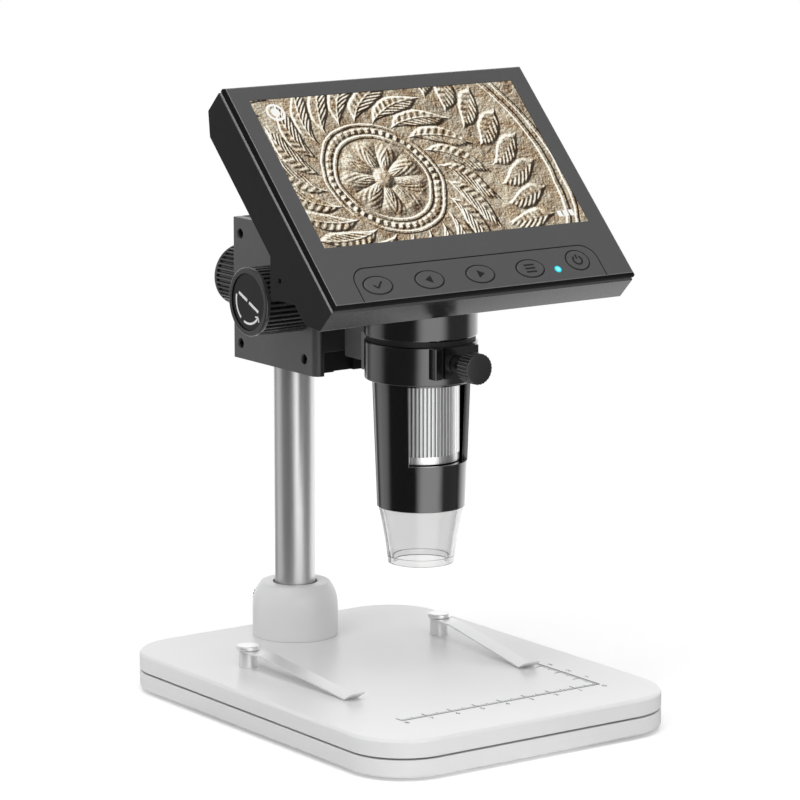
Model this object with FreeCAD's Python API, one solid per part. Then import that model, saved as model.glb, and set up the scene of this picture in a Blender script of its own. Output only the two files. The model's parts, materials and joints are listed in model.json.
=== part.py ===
import FreeCAD, Part
import math
import os

# A desktop digital microscope. A tilted display head stands on a focusing barrel, which a ring clamp
# holds in front of a lifting block on a steel column. The white base carries a ruler and two clips.
# Millimetres, +Z up, +X to the right as seen from the front, +Y to the back.
# The pieces are built with Z = 0 at the underside of the base shell and X = Y = 0 at the base centre.
# On export they are moved so that the origin is the middle of the whole footprint at the feet.

Vec = FreeCAD.Vector
UP = Vec(0, 0, 1)
BACK = Vec(0, 1, 0)
RIGHT = Vec(1, 0, 0)

# Clearances
running_gap = 0.06
fit_gap = 0.15
face_gap = 0.3
tolerance = 1e-4

# Base
base_width = 120.0
base_depth = 160.0
base_height = 12.3
base_corner_radius = 20.0
base_top_round = 1.2
base_bottom_round = 1.0
base_wall = 2.2
base_lip_wall = 1.2
base_lip_height = 2.5
base_floor = 2.0
bottom_shell_height = 5.8
shell_line = 0.6
boss_radius = 4.5
base_screw_inset = 10.0
base_screw_x = base_width / 2 - base_screw_inset
base_screw_y = 30.0
base_screw_radius = 1.4
base_screw_head_radius = 2.8
base_screw_head_height = 1.8
base_screw_sink = 0.5
foot_inset = 18.0
foot_x = base_width / 2 - foot_inset
foot_y = base_depth / 2 - foot_inset
foot_radius = 6.0
foot_proud = 1.2
foot_sink = 0.8
weight_side_margin = 22.0
weight_width = base_width - 2 * weight_side_margin
weight_front_margin = 28.0
weight_front_y = -base_depth / 2 + weight_front_margin
weight_column_gap = 26.0
weight_thickness = 3.0
weight_corner_radius = 6.0

# Column and its socket
column_inset = 20.0
column_y = base_depth / 2 - column_inset
weight_back_y = column_y - weight_column_gap
column_radius = 7.0
column_wall = 1.3
column_top_z = 190.0
column_foot_length = 20.0
column_cap_thickness = 1.6
column_cap_spigot = 6.0
socket_radius = 14.8
socket_top_radius = 11.8
socket_straight = 10.5
socket_height = 18.7
socket_floor = 3.0
socket_bulge = 0.27
socket_recess_radius = 7.7
socket_recess_depth = 2.0
bolt_radius = 2.9
bolt_head_radius = 5.2
bolt_head_height = 3.0
bolt_sink = 0.4
bolt_engagement = 14.0
column_boss_radius = 9.0
socket_screw_rise = 9.7
socket_screw_radius = 2.0
socket_screw_head_radius = 4.5
socket_screw_head_root = 4.1
socket_screw_head_length = 4.9
socket_screw_ribs = 24

# Stage clips
clip_side_inset = 20.4
clip_post_x = base_width / 2 - clip_side_inset
clip_post_reach = 30.3
clip_post_y = column_y - clip_post_reach
clip_post_radius = 3.1
clip_post_height = 5.4
clip_neck_radius = 1.5
clip_head_radius = 3.9
clip_head_height = 1.3
clip_spigot_radius = 2.0
clip_spigot_length = 4.0
clip_thickness = 0.5
clip_width = 6.2
clip_eye_radius = 3.4
clip_flat_length = 12.0
clip_length = 55.0
clip_curl_length = 3.5
clip_curl_rise = 2.0
clip_inward_angle = 4.0

# Lifting block
block_half_width = 15.0
block_front_reach = 35.2
block_back_reach = 14.6
block_front_y = column_y - block_front_reach
block_back_y = column_y + block_back_reach
block_bottom_z = 109.0
block_height = 48.6
block_top_z = block_bottom_z + block_height
side_plate_thickness = 3.5
side_plate_round = 2.8
block_edge = 0.5
core_recess = 5.3
core_front_y = block_front_y + core_recess
sleeve_wall = 1.5
plate_screw_front_inset = 7.0
plate_screw_back_inset = 4.3
plate_screw_low_inset = 5.3
plate_screw_high_inset = 5.4
plate_screw_front_y = block_front_y + plate_screw_front_inset
plate_screw_back_y = block_back_y - plate_screw_back_inset
plate_screw_low_z = block_bottom_z + plate_screw_low_inset
plate_screw_high_z = block_top_z - plate_screw_high_inset
plate_screw_head_radius = 1.65
plate_screw_shank_radius = 1.1
plate_screw_sink = 0.8
plate_screw_head_height = 1.4
plate_screw_length = 8.0
groove_inset = 1.7
groove_width = 2.2
groove_front_y = block_front_y + groove_inset
groove_back_y = groove_front_y + groove_width
groove_depth = 1.6

# Lock knob at the back of the block
lock_rise = 25.0
lock_z = block_bottom_z + lock_rise
lock_knob_radius = 10.8
lock_knob_root = 10.1
lock_knob_length = 18.6
lock_stud_radius = 2.5
lock_shoe_radius = 3.9
lock_shoe_thickness = 2.4

# Focus knobs, pinion and rack
pinion_inset = 10.8
pinion_rise = 26.0
pinion_y = block_front_y + pinion_inset
pinion_z = block_bottom_z + pinion_rise
gear_module = 0.6
pinion_teeth = 16
gear_addendum = 0.5
gear_dedendum = 0.7
gear_backlash = 0.12
pressure_angle = 20.0
pinion_half_width = 3.3
pinion_shaft_radius = 2.5
bush_wall = 1.5
focus_knob_radius = 11.5
focus_knob_root = 10.8
focus_knob_length = 19.7
knob_ribs = 40
rib_tip_share = 0.18
rib_root_share = 0.34
knob_rim_length = 1.6
knob_rim_wall = 1.9
knob_recess_depth = 1.2
knob_disc_thickness = 0.8
knob_rim_round = 0.6

# Focus carriage with its arm and ring
slide_inset = 0.4
slide_back_gap = 0.2
slide_travel_room = 8.0
slide_front_y = block_front_y + slide_inset
slide_back_y = core_front_y - slide_back_gap
slide_bottom_z = block_bottom_z + slide_travel_room
slide_top_z = block_top_z - slide_travel_room
rack_half_width = 3.5
rack_seat_depth = 1.9
rack_seat_y = slide_back_y - rack_seat_depth
rack_end_margin = 0.8
arm_half_width = 3.0
arm_drop = 1.9
arm_gusset_drop = 3.6
arm_bottom_z = slide_bottom_z - arm_drop
arm_gusset_z = slide_top_z - arm_gusset_drop
ring_radius = 18.7
ring_drop = 1.6
ring_height = 12.7
ring_bottom_z = arm_bottom_z - ring_drop
ring_top_z = ring_bottom_z + ring_height
ring_rear_half_width = 7.5
barrel_reach = 39.2
ring_rear_reach = 23.4
barrel_y = block_front_y - barrel_reach
ring_rear_y = barrel_y + ring_rear_reach
ring_boss_half_width = 8.8
ring_boss_reach = 20.0
ring_boss_rise = 2.5
ring_boss_front_y = barrel_y - ring_boss_reach
ring_boss_bottom_z = ring_bottom_z + ring_boss_rise
ring_groove_x = -5.4
ring_groove_width = 1.2
ring_groove_depth = 1.5
ring_edge = 0.5
arm_screw_head_radius = 2.4
arm_screw_head_height = 1.9
arm_screw_shank_radius = 1.5
arm_screw_length = 12.0
arm_screw_spread = 6.0
clamp_screw_rise = 7.1
clamp_screw_z = ring_bottom_z + clamp_screw_rise
clamp_screw_radius = 2.0
clamp_screw_head_radius = 5.1
clamp_screw_head_root = 4.7
clamp_screw_head_length = 5.5
clamp_screw_reach = 32.0
clamp_screw_face_y = barrel_y - clamp_screw_reach
clamp_screw_neck_radius = 3.0
clamp_screw_ribs = 26

# Barrel
barrel_top_radius = 16.25
barrel_bottom_radius = 14.7
barrel_taper_gap = 0.2
barrel_taper_length = 42.5
barrel_rise = 13.8
barrel_straight_z = ring_bottom_z - barrel_taper_gap
barrel_bottom_z = barrel_straight_z - barrel_taper_length
barrel_top_z = ring_top_z + barrel_rise
barrel_wall = 1.8
window_half_angle = 50.4
window_rise = 15.4
window_height = 26.3
window_bottom_z = barrel_bottom_z + window_rise
window_top_z = window_bottom_z + window_height
bulkhead = 2.5
bulkhead_bore_radius = 9.2
wheel_radius = 12.75
wheel_root = 12.3
wheel_ribs = 60
wheel_rim = 2.5
lens_tube_radius = 8.9
lens_tube_wall = 2.4
lens_tube_rise = 7.0
lens_tube_headroom = 6.5
lens_tube_bottom_z = barrel_bottom_z + lens_tube_rise
lens_tube_top_z = window_top_z - lens_tube_headroom
lens_key_width = 1.4
lens_key_depth = 0.8
lens_ledge = 1.3
lens_inset = 0.8
lens_front_z = lens_tube_bottom_z + lens_inset
lens_thickness = 3.0
lens_spacing = 5.4
sensor_board_radius = 14.2
sensor_board_thickness = 1.2
sensor_size = 9.0
sensor_height = 1.5

# Clear tip cap and its light board
cap_top_radius = 14.25
cap_middle_radius = 12.3
cap_bottom_radius = 11.0
cap_height = 19.1
cap_middle_share = 0.49
cap_wall = 1.5
cap_rim_height = 2.2
cap_rim_wall = 2.0
cap_spigot_height = 2.5
cap_spigot_wall = 1.4
light_board_inner_radius = 5.5
light_board_thickness = 1.0
light_ledge = 1.0
led_count = 8
led_circle_radius = 8.6
led_size = 2.8
led_height = 1.2

# Neck collar between the ring and the head
neck_gap = 1.6
neck_height = 30.4
neck_bottom_z = ring_top_z + neck_gap
neck_top_z = neck_bottom_z + neck_height
neck_cavity_radius = 14.0
neck_roof = 2.4
neck_edge = 0.8
washer_inset = 0.8

# Display head, built flat and then tilted: x across, y up the face, z out of the face
head_face_lead = 5.8
head_face_rise = 20.4
head_face_y = barrel_y - head_face_lead
head_face_z = neck_top_z + head_face_rise
head_tilt = 45.0
display_half_width = 52.5
display_half_height = 30.0
display_side_border = 7.25
display_top_border = 6.2
display_bottom_border = 23.0
fascia_half_width = display_half_width + display_side_border
fascia_half_height = display_half_height + (display_top_border + display_bottom_border) / 2
display_centre = fascia_half_height - display_top_border - display_half_height
fascia_thickness = 2.0
fascia_bevel = 0.75
fascia_inset = 0.25
housing_half_width = fascia_half_width + fascia_inset
housing_half_height = fascia_half_height + fascia_inset
housing_front_bevel = 0.9
housing_side_depth = 12.0
housing_depth = 17.3
housing_back_inset = 6.6
housing_wall = 2.0
wedge_drop = 13.1
wedge_back_lead = 1.2
wedge_floor_z = neck_top_z - wedge_drop
wedge_back_y = barrel_y - wedge_back_lead
pinhole_lead = 6.6
pinhole_rise = 6.4
pinhole_y = barrel_y - pinhole_lead
pinhole_z = wedge_floor_z + pinhole_rise
pinhole_radius = 0.8
display_sink = 0.1
display_margin = 0.15
display_frame_overlap = 0.6
display_frame_depth = 3.0
strip_side_margin = 11.35
strip_height = 13.9
strip_half_width = fascia_half_width - strip_side_margin
strip_top = strip_height - fascia_half_height
strip_corner = 6.0
strip_line = 0.4
strip_line_depth = 0.25
button_rise = 6.6
button_row = button_rise - fascia_half_height
select_button_inset = 8.05
select_button_x = select_button_inset - strip_half_width
button_half_width = 5.15
button_half_height = 3.3
power_button_inset = 8.7
power_button_rise = 7.8
power_button_x = strip_half_width - power_button_inset
power_button_row = power_button_rise - fascia_half_height
button_count = 5
power_button_shift = 0.07
button_pitch = (power_button_x + power_button_shift - select_button_x) / (button_count - 1)
power_half_width = 4.25
power_half_height = 3.75
button_gap = 0.2
button_proud = 0.15
button_flange = 0.8
button_flange_thickness = 0.7
button_nub_radius = 1.2
button_nub_length = 0.15
button_travel = 0.6
button_spare = 0.1
board_rest_half = 1.5
switch_size = 4.5
switch_height = 1.6
button_board_inset = 9.75
button_board_half_width = fascia_half_width - button_board_inset
button_board_reach_up = 5.6
button_board_reach_down = 4.2
button_board_top = button_row + button_board_reach_up
button_board_bottom = button_row - button_board_reach_down
board_thickness = 1.2
led_window_gap = 9.3
led_window_x = power_button_x - led_window_gap
led_window_rise = 5.2
led_window_row = led_window_rise - fascia_half_height
led_window_radius = 1.25
housing_screw_inset = 4.4
housing_screw_margin = 10.85
housing_screw_x = housing_half_width - housing_screw_inset
housing_screw_high = housing_half_height - housing_screw_margin
housing_screw_low = -housing_screw_high
housing_screw_radius = 1.0
housing_screw_head_radius = 1.7
housing_screw_head_height = 1.4
housing_screw_sink = 0.5
housing_boss_radius = 2.2
fascia_boss_length = 4.0
main_board_inset = 4.0
main_board_left_inset = 14.0
main_board_right_inset = 3.5
main_board_half_height = display_half_height - main_board_inset
main_board_left = main_board_left_inset - housing_half_width
main_board_right = housing_half_width - main_board_right_inset
main_board_depth = 9.0
battery_side_margin = 21.5
battery_half_width = display_half_width - battery_side_margin
battery_proud = 1.0
battery_height = 32.0
battery_high = main_board_half_height + battery_proud
battery_low = battery_high - battery_height
board_post_gap = 9.0
board_post_inset = 5.0
board_post_spread = 29.0
board_post_x = battery_half_width + board_post_gap
board_post_high = main_board_half_height - board_post_inset
board_post_low = board_post_high - board_post_spread
board_post_radius = 2.5
battery_round = 1.5
socket_wall_share = 0.125
usb_width = 8.0
usb_height = 2.8
usb_length = 8.0
usb_row = 8.0
card_width = 13.0
card_height = 1.9
card_length = 14.0
card_row = -9.0
cable_width = 10.0
cable_thickness = 0.3
cable_lead = 6.6
cable_y = barrel_y - cable_lead

# Worked out from the sizes above
top_shell_bottom_z = bottom_shell_height + shell_line
boss_meet_z = top_shell_bottom_z
column_seat_z = base_height + socket_floor
core_half_width = block_half_width - side_plate_thickness
sleeve_radius = column_radius + sleeve_wall
column_bore_radius = column_radius + running_gap
pitch_radius = gear_module * pinion_teeth / 2
rack_pitch_y = pinion_y - pitch_radius
rack_tip_y = rack_pitch_y + gear_addendum
gear_pitch = math.pi * gear_module
ring_bore_radius = barrel_top_radius + running_gap
light_board_z = barrel_bottom_z + cap_spigot_height
light_board_top_z = light_board_z + light_board_thickness
button_back = -fascia_thickness - running_gap - button_flange_thickness - button_nub_length
switch_top = button_back - button_travel - button_spare
button_board_front = switch_top - switch_height
rear_reach = block_back_y + face_gap + lock_knob_length
frame_shift = Vec(0, (base_depth / 2 - rear_reach) / 2, foot_proud)
BARREL = Vec(0, barrel_y, 0)
COLUMN = Vec(0, column_y, 0)


# Shape helpers

def box(x0, x1, y0, y1, z0, z1):
    return Part.makeBox(x1 - x0, y1 - y0, z1 - z0, Vec(x0, y0, z0))


def rod(radius, start, end):
    along = end - start
    return Part.makeCylinder(radius, along.Length, start, along)


def pipe(outer, inner, start, end):
    return rod(outer, start, end).cut(rod(inner, start, end))


def upright(radius, centre, z0, z1):
    return rod(radius, Vec(centre.x, centre.y, z0), Vec(centre.x, centre.y, z1))


def join(shapes):
    return shapes[0].multiFuse(shapes[1:]).removeSplitter()


def edges_at(shape, test):
    return [edge for edge in shape.Edges if all(test(v.Point) for v in edge.Vertexes)]


def near(value, target):
    return abs(value - target) < tolerance


def is_upright(edge):
    a, b = edge.Vertexes[0].Point, edge.Vertexes[-1].Point
    return near(a.x, b.x) and near(a.y, b.y) and not near(a.z, b.z)


def slab(x0, x1, y0, y1, z0, z1, corner):
    """A plate with rounded upright corners."""
    plain = box(x0, x1, y0, y1, z0, z1)
    return plain.makeFillet(corner, [edge for edge in plain.Edges if is_upright(edge)])


def centred_slab(half_x, half_y, z0, z1, corner):
    return slab(-half_x, half_x, -half_y, half_y, z0, z1, corner)


def polygon_face(points):
    return Part.Face(Part.makePolygon(points + [points[0]]))


def side_prism(outline, x0, x1):
    """A prism along X from its (y, z) outline."""
    return polygon_face([Vec(x0, y, z) for y, z in outline]).extrude(Vec(x1 - x0, 0, 0))


def turned(outline, centre=Vec()):
    """A body of revolution about the upright axis from its (radius, z) outline."""
    face = polygon_face([Vec(r, 0, z) for r, z in outline])
    body = face.revolve(Vec(), UP, 360)
    body.translate(centre)
    return body


def ribbed(tip, root, ribs, length):
    """A ribbed cylinder along +Z from the origin."""
    outline = [(-rib_root_share, root), (-rib_tip_share, tip), (rib_tip_share, tip), (rib_root_share, root)]
    points = []
    for rib in range(ribs):
        for share, radius in outline:
            angle = 2 * math.pi * (rib + share) / ribs
            points.append(Vec(radius * math.cos(angle), radius * math.sin(angle), 0))
    return polygon_face(points).extrude(Vec(0, 0, length))


def aim(shape, start, direction):
    """Moves a shape built along +Z so that it starts at a point and runs along a direction."""
    shape.Placement = FreeCAD.Placement(start, FreeCAD.Rotation(UP, direction)).multiply(shape.Placement)
    return shape


def tilt(shape):
    """Carries a piece of the head from its flat layout to its place on the tilted face."""
    turn = FreeCAD.Rotation(RIGHT, head_tilt)
    place = FreeCAD.Placement(Vec(0, head_face_y, head_face_z), turn)
    shape.Placement = place.multiply(shape.Placement)
    return shape


def ellipse_prism(centre_x, centre_y, half_x, half_y, z0, z1):
    """An elliptical prism along Z."""
    curve = Part.Ellipse(Vec(centre_x, centre_y, z0), half_x, half_y)
    return Part.Face(Part.Wire(curve.toShape())).extrude(Vec(0, 0, z1 - z0))


def corners(x, y):
    return [Vec(sx * x, sy * y, 0) for sx in (-1, 1) for sy in (-1, 1)]


# Base

def base_bosses(z0, z1):
    screws = [upright(boss_radius, c, z0, z1) for c in corners(base_screw_x, base_screw_y)]
    return screws + [upright(column_boss_radius, COLUMN, z0, z1)]


def base_holes():
    screws = [upright(base_screw_radius + fit_gap, c, 0, base_height - base_floor)
              for c in corners(base_screw_x, base_screw_y)]
    return screws + [upright(bolt_radius + fit_gap, COLUMN, 0, base_height)]


def base_bottom_shell():
    half_x, half_y = base_width / 2, base_depth / 2
    outer = centred_slab(half_x, half_y, 0, bottom_shell_height, base_corner_radius)
    outer = outer.makeFillet(base_bottom_round, edges_at(outer, lambda p: near(p.z, 0)))
    inset = base_wall + fit_gap
    lip = centred_slab(half_x - inset, half_y - inset, base_floor, bottom_shell_height + base_lip_height,
                       base_corner_radius - inset)
    inset += base_lip_wall
    hollow = centred_slab(half_x - inset, half_y - inset, base_floor, base_height,
                          base_corner_radius - inset)
    shell = join([outer.fuse(lip).cut(hollow)] + base_bosses(0, boss_meet_z))
    sinks = [upright(base_screw_head_radius + fit_gap, c, 0, base_screw_sink + base_screw_head_height)
             for c in corners(base_screw_x, base_screw_y)]
    sinks.append(upright(bolt_head_radius + fit_gap, COLUMN, 0, bolt_sink + bolt_head_height))
    pads = [upright(foot_radius + fit_gap, c, 0, foot_sink) for c in corners(foot_x, foot_y)]
    return shell.cut(sinks + pads + base_holes())


def base_top_shell():
    half_x, half_y = base_width / 2, base_depth / 2
    outer = centred_slab(half_x, half_y, top_shell_bottom_z, base_height, base_corner_radius)
    outer = outer.makeFillet(base_top_round, edges_at(outer, lambda p: near(p.z, base_height)))
    hollow = centred_slab(half_x - base_wall, half_y - base_wall, top_shell_bottom_z,
                          base_height - base_floor, base_corner_radius - base_wall)
    post_bosses = [upright(boss_radius, c, base_height - clip_spigot_length, base_height - base_floor)
                   for c in clip_centres()]
    bosses = base_bosses(boss_meet_z, base_height - base_floor) + post_bosses
    posts = [upright(clip_spigot_radius, c, base_height - clip_spigot_length, base_height)
             for c in clip_centres()]
    return join([outer.cut(hollow)] + bosses).cut(posts + base_holes())


def base_weight():
    half = weight_width / 2
    return slab(-half, half, weight_front_y, weight_back_y, base_floor, base_floor + weight_thickness,
                weight_corner_radius)


def base_feet():
    return [upright(foot_radius, c, -foot_proud, foot_sink) for c in corners(foot_x, foot_y)]


def base_screws():
    screws = []
    for c in corners(base_screw_x, base_screw_y):
        head_top = base_screw_sink + base_screw_head_height
        head = upright(base_screw_head_radius, c, base_screw_sink, head_top)
        screws.append(join([head, upright(base_screw_radius, c, head_top, base_height - base_floor)]))
    return screws


# Column

def column_socket():
    top_z = base_height + socket_height
    shoulder_z = base_height + socket_straight
    middle = (socket_radius + socket_top_radius) / 2
    bulge_radius = middle + socket_bulge * (socket_radius - socket_top_radius)
    bulge = Vec(bulge_radius, 0, (shoulder_z + top_z) / 2)
    dome = Part.Arc(Vec(socket_radius, 0, shoulder_z), bulge, Vec(socket_top_radius, 0, top_z)).toShape()
    rest = Part.makePolygon([Vec(socket_top_radius, 0, top_z), Vec(0, 0, top_z), Vec(0, 0, base_height),
                             Vec(socket_radius, 0, base_height), Vec(socket_radius, 0, shoulder_z)])
    body = Part.Face(Part.Wire([dome] + rest.Edges)).revolve(Vec(), UP, 360)
    body.translate(COLUMN)
    screw_z = base_height + socket_screw_rise
    cuts = [
        upright(column_radius + running_gap, COLUMN, column_seat_z, top_z),
        upright(socket_recess_radius, COLUMN, top_z - socket_recess_depth, top_z),
        upright(bolt_radius + fit_gap, COLUMN, base_height, column_seat_z),
        rod(socket_screw_radius + running_gap, Vec(0, column_y, screw_z),
            Vec(0, column_y + socket_radius, screw_z)),
    ]
    return body.cut(cuts)


def column():
    bore = upright(column_radius - column_wall, COLUMN, column_seat_z + column_foot_length, column_top_z)
    thread = upright(bolt_radius + running_gap, COLUMN, column_seat_z, column_seat_z + bolt_engagement)
    return upright(column_radius, COLUMN, column_seat_z, column_top_z).cut([bore, thread])


def column_cap():
    top_z = column_top_z + column_cap_thickness
    disc = upright(column_radius, COLUMN, column_top_z, top_z)
    disc = disc.makeFillet(column_cap_thickness / 2, edges_at(disc, lambda p: near(p.z, top_z)))
    plug_radius = column_radius - column_wall - running_gap
    return join([disc, upright(plug_radius, COLUMN, column_top_z - column_cap_spigot, column_top_z)])


def column_bolt():
    head_top = bolt_sink + bolt_head_height
    head = upright(bolt_head_radius, COLUMN, bolt_sink, head_top)
    return join([head, upright(bolt_radius, COLUMN, head_top, column_seat_z + bolt_engagement)])


def socket_screw():
    z = base_height + socket_screw_rise
    head_start = column_y + socket_radius + face_gap
    head = ribbed(socket_screw_head_radius, socket_screw_head_root, socket_screw_ribs,
                  socket_screw_head_length)
    aim(head, Vec(0, head_start, z), BACK)
    tip = column_y + column_radius + running_gap
    shank = rod(socket_screw_radius, Vec(0, tip, z), Vec(0, head_start, z))
    return join([head, shank])


# Stage clips

def clip_centres():
    return [Vec(side * clip_post_x, clip_post_y, 0) for side in (-1, 1)]


def clip_posts():
    posts = []
    collar_z = base_height + clip_post_height
    neck_z = collar_z + clip_thickness + 2 * fit_gap
    head_z = neck_z + clip_head_height
    for c in clip_centres():
        head = upright(clip_head_radius, c, neck_z, head_z)
        head = head.makeFillet(clip_head_height / 3, edges_at(head, lambda p: near(p.z, head_z)))
        posts.append(join([upright(clip_spigot_radius, c, base_height - clip_spigot_length, base_height),
                           upright(clip_post_radius, c, base_height, collar_z),
                           upright(clip_neck_radius, c, collar_z, neck_z),
                           head]))
    return posts


def clip(side):
    """A spring clip: a flat start at its post, a long slope to the base and a lifted tip."""
    eye_z = base_height + clip_post_height + fit_gap
    tip_z = base_height + fit_gap
    reach = clip_length + clip_curl_length
    line = [(0, eye_z), (clip_flat_length, eye_z), (clip_length, tip_z), (reach, tip_z + clip_curl_rise)]
    outline = [(-s, z) for s, z in line] + [(-s, z + clip_thickness) for s, z in reversed(line)]
    strip = side_prism(outline, -clip_width / 2, clip_width / 2)
    eye = upright(clip_eye_radius, Vec(), eye_z, eye_z + clip_thickness)
    hole = upright(clip_neck_radius + running_gap, Vec(), eye_z, eye_z + clip_thickness)
    spring = join([strip, eye]).cut(hole)
    spring.rotate(Vec(), UP, -side * clip_inward_angle)
    spring.translate(Vec(side * clip_post_x, clip_post_y, 0))
    return spring


# Lifting block

def plate_screw_places():
    return [(y, z) for y in (plate_screw_front_y, plate_screw_back_y)
            for z in (plate_screw_low_z, plate_screw_high_z)]


def lift_block():
    core = box(-core_half_width, core_half_width, core_front_y, block_back_y, block_bottom_z, block_top_z)
    rack_room = rack_half_width + fit_gap + face_gap
    shoe_back = column_y + column_radius + running_gap + lock_shoe_thickness
    cavity = pitch_radius + gear_addendum + face_gap
    cuts = [
        upright(sleeve_radius, COLUMN, block_bottom_z, block_top_z),
        box(-rack_room, rack_room, core_front_y, rack_tip_y + face_gap, block_bottom_z, block_top_z),
        rod(cavity, Vec(-rack_room, pinion_y, pinion_z), Vec(rack_room, pinion_y, pinion_z)),
        rod(pinion_shaft_radius + face_gap, Vec(-core_half_width, pinion_y, pinion_z),
            Vec(core_half_width, pinion_y, pinion_z)),
        rod(lock_shoe_radius + running_gap, Vec(0, column_y, lock_z), Vec(0, shoe_back + fit_gap, lock_z)),
        rod(lock_stud_radius + running_gap, Vec(0, column_y, lock_z), Vec(0, block_back_y, lock_z)),
    ]
    reach = plate_screw_length - side_plate_thickness + plate_screw_sink
    for y, z in plate_screw_places():
        for side in (-1, 1):
            start = Vec(side * core_half_width, y, z)
            cuts.append(rod(plate_screw_shank_radius, start, start - RIGHT * side * reach))
    return core.cut(cuts)


def side_plate(side):
    """A side plate, with a groove for the slide and holes for the shaft bush and the screws."""
    outer = side * block_half_width
    inner = side * core_half_width
    plate = box(min(outer, inner), max(outer, inner), block_front_y, block_back_y,
                block_bottom_z, block_top_z)
    front = [e for e in plate.Edges if is_upright(e) and near(e.Vertexes[0].Point.x, outer)
             and near(e.Vertexes[0].Point.y, block_front_y)]
    plate = plate.makeFillet(side_plate_round, front)
    back = [e for e in plate.Edges if is_upright(e) and near(e.Vertexes[0].Point.x, outer)
            and near(e.Vertexes[0].Point.y, block_back_y)]
    plate = plate.makeFillet(block_edge, back)
    groove_end = inner + side * groove_depth
    cuts = [
        box(min(inner, groove_end), max(inner, groove_end), groove_front_y, groove_back_y,
            block_bottom_z, block_top_z),
        rod(pinion_shaft_radius + bush_wall, Vec(inner, pinion_y, pinion_z),
            Vec(outer, pinion_y, pinion_z)),
    ]
    head_end = side * (block_half_width - plate_screw_sink - plate_screw_head_height)
    for y, z in plate_screw_places():
        cuts.append(rod(plate_screw_head_radius + running_gap, Vec(outer, y, z), Vec(head_end, y, z)))
        cuts.append(rod(plate_screw_shank_radius + running_gap, Vec(outer, y, z), Vec(inner, y, z)))
    return plate.cut(cuts)


def side_plate_screws():
    screws = []
    for side in (-1, 1):
        for y, z in plate_screw_places():
            top = Vec(side * (block_half_width - plate_screw_sink), y, z)
            under = top - RIGHT * side * plate_screw_head_height
            end = top - RIGHT * side * plate_screw_length
            hexagon = []
            for corner in range(6):
                angle = math.radians(60 * corner)
                r = plate_screw_head_radius / 2
                hexagon.append(Vec(top.x, y + r * math.cos(angle), z + r * math.sin(angle)))
            key = polygon_face(hexagon).extrude(RIGHT * -side * plate_screw_head_height / 2)
            head = rod(plate_screw_head_radius, top, under).cut(key)
            screws.append(join([head, rod(plate_screw_shank_radius, under, end)]))
    return screws


def column_sleeve():
    sleeve = pipe(sleeve_radius, column_bore_radius, COLUMN + UP * block_bottom_z,
                  COLUMN + UP * block_top_z)
    window = rod(lock_shoe_radius + running_gap, Vec(0, column_y, lock_z), Vec(0, block_back_y, lock_z))
    return sleeve.cut(window)


def shaft_bushes():
    inner = pinion_shaft_radius + running_gap
    return [pipe(pinion_shaft_radius + bush_wall, inner, Vec(side * core_half_width, pinion_y, pinion_z),
                 Vec(side * block_half_width, pinion_y, pinion_z)) for side in (-1, 1)]


def clamp_shoe():
    back_y = column_y + column_radius + running_gap + lock_shoe_thickness
    shoe = rod(lock_shoe_radius, Vec(0, column_y, lock_z), Vec(0, back_y, lock_z))
    return shoe.cut(upright(column_bore_radius, COLUMN, block_bottom_z, block_top_z))


# Knobs

def knob(radius, root, length, bore, bore_start):
    """A ribbed knob along +Z with a smooth rim and a recess in its outer face."""
    body = ribbed(radius, root, knob_ribs, length - knob_rim_length)
    rim = rod(radius, UP * (length - knob_rim_length), UP * length)
    rim = rim.makeFillet(knob_rim_round, edges_at(rim, lambda p: near(p.z, length)))
    recess = rod(radius - knob_rim_wall, UP * (length - knob_recess_depth), UP * length)
    hole = rod(bore, UP * bore_start, UP * (length - knob_recess_depth))
    return join([body, rim]).cut([recess, hole])


def focus_knob(side):
    body = knob(focus_knob_radius, focus_knob_root, focus_knob_length, pinion_shaft_radius, 0)
    return aim(body, Vec(side * (block_half_width + face_gap), pinion_y, pinion_z), RIGHT * side)


def knob_discs():
    discs = []
    for side in (-1, 1):
        seat = block_half_width + face_gap + focus_knob_length - knob_recess_depth
        start = Vec(side * seat, pinion_y, pinion_z)
        radius = focus_knob_radius - knob_rim_wall - running_gap
        discs.append(rod(radius, start, start + RIGHT * side * knob_disc_thickness))
    return discs


def pinion_shaft():
    reach = block_half_width + face_gap + focus_knob_length - knob_recess_depth
    return rod(pinion_shaft_radius, Vec(-reach, pinion_y, pinion_z), Vec(reach, pinion_y, pinion_z))


def gear_outline():
    """Involute teeth about the X axis, as (y, z) points, with a gap facing the rack."""
    alpha = math.radians(pressure_angle)
    base_radius = pitch_radius * math.cos(alpha)
    tip = pitch_radius + gear_addendum
    root = pitch_radius - gear_dedendum
    half_pitch_angle = (gear_pitch / 2 - gear_backlash / 2) / 2 / pitch_radius
    involute = math.tan(alpha) - alpha
    flank = [(root, half_pitch_angle + involute)]
    steps = 4
    for step in range(steps + 1):
        radius = base_radius + (tip - base_radius) * step / steps
        roll = math.acos(min(1.0, base_radius / radius))
        flank.append((radius, half_pitch_angle + involute - (math.tan(roll) - roll)))
    points = []
    for tooth in range(pinion_teeth):
        centre = math.pi + 2 * math.pi * (tooth + 0.5) / pinion_teeth
        for radius, half in flank:
            points.append((radius * math.cos(centre - half), radius * math.sin(centre - half)))
        for radius, half in reversed(flank):
            points.append((radius * math.cos(centre + half), radius * math.sin(centre + half)))
    return [(pinion_y + y, pinion_z + z) for y, z in points]


def focus_pinion():
    gear = side_prism(gear_outline(), -pinion_half_width, pinion_half_width)
    bore = rod(pinion_shaft_radius, Vec(-block_half_width, pinion_y, pinion_z),
               Vec(block_half_width, pinion_y, pinion_z))
    return gear.cut(bore)


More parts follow.
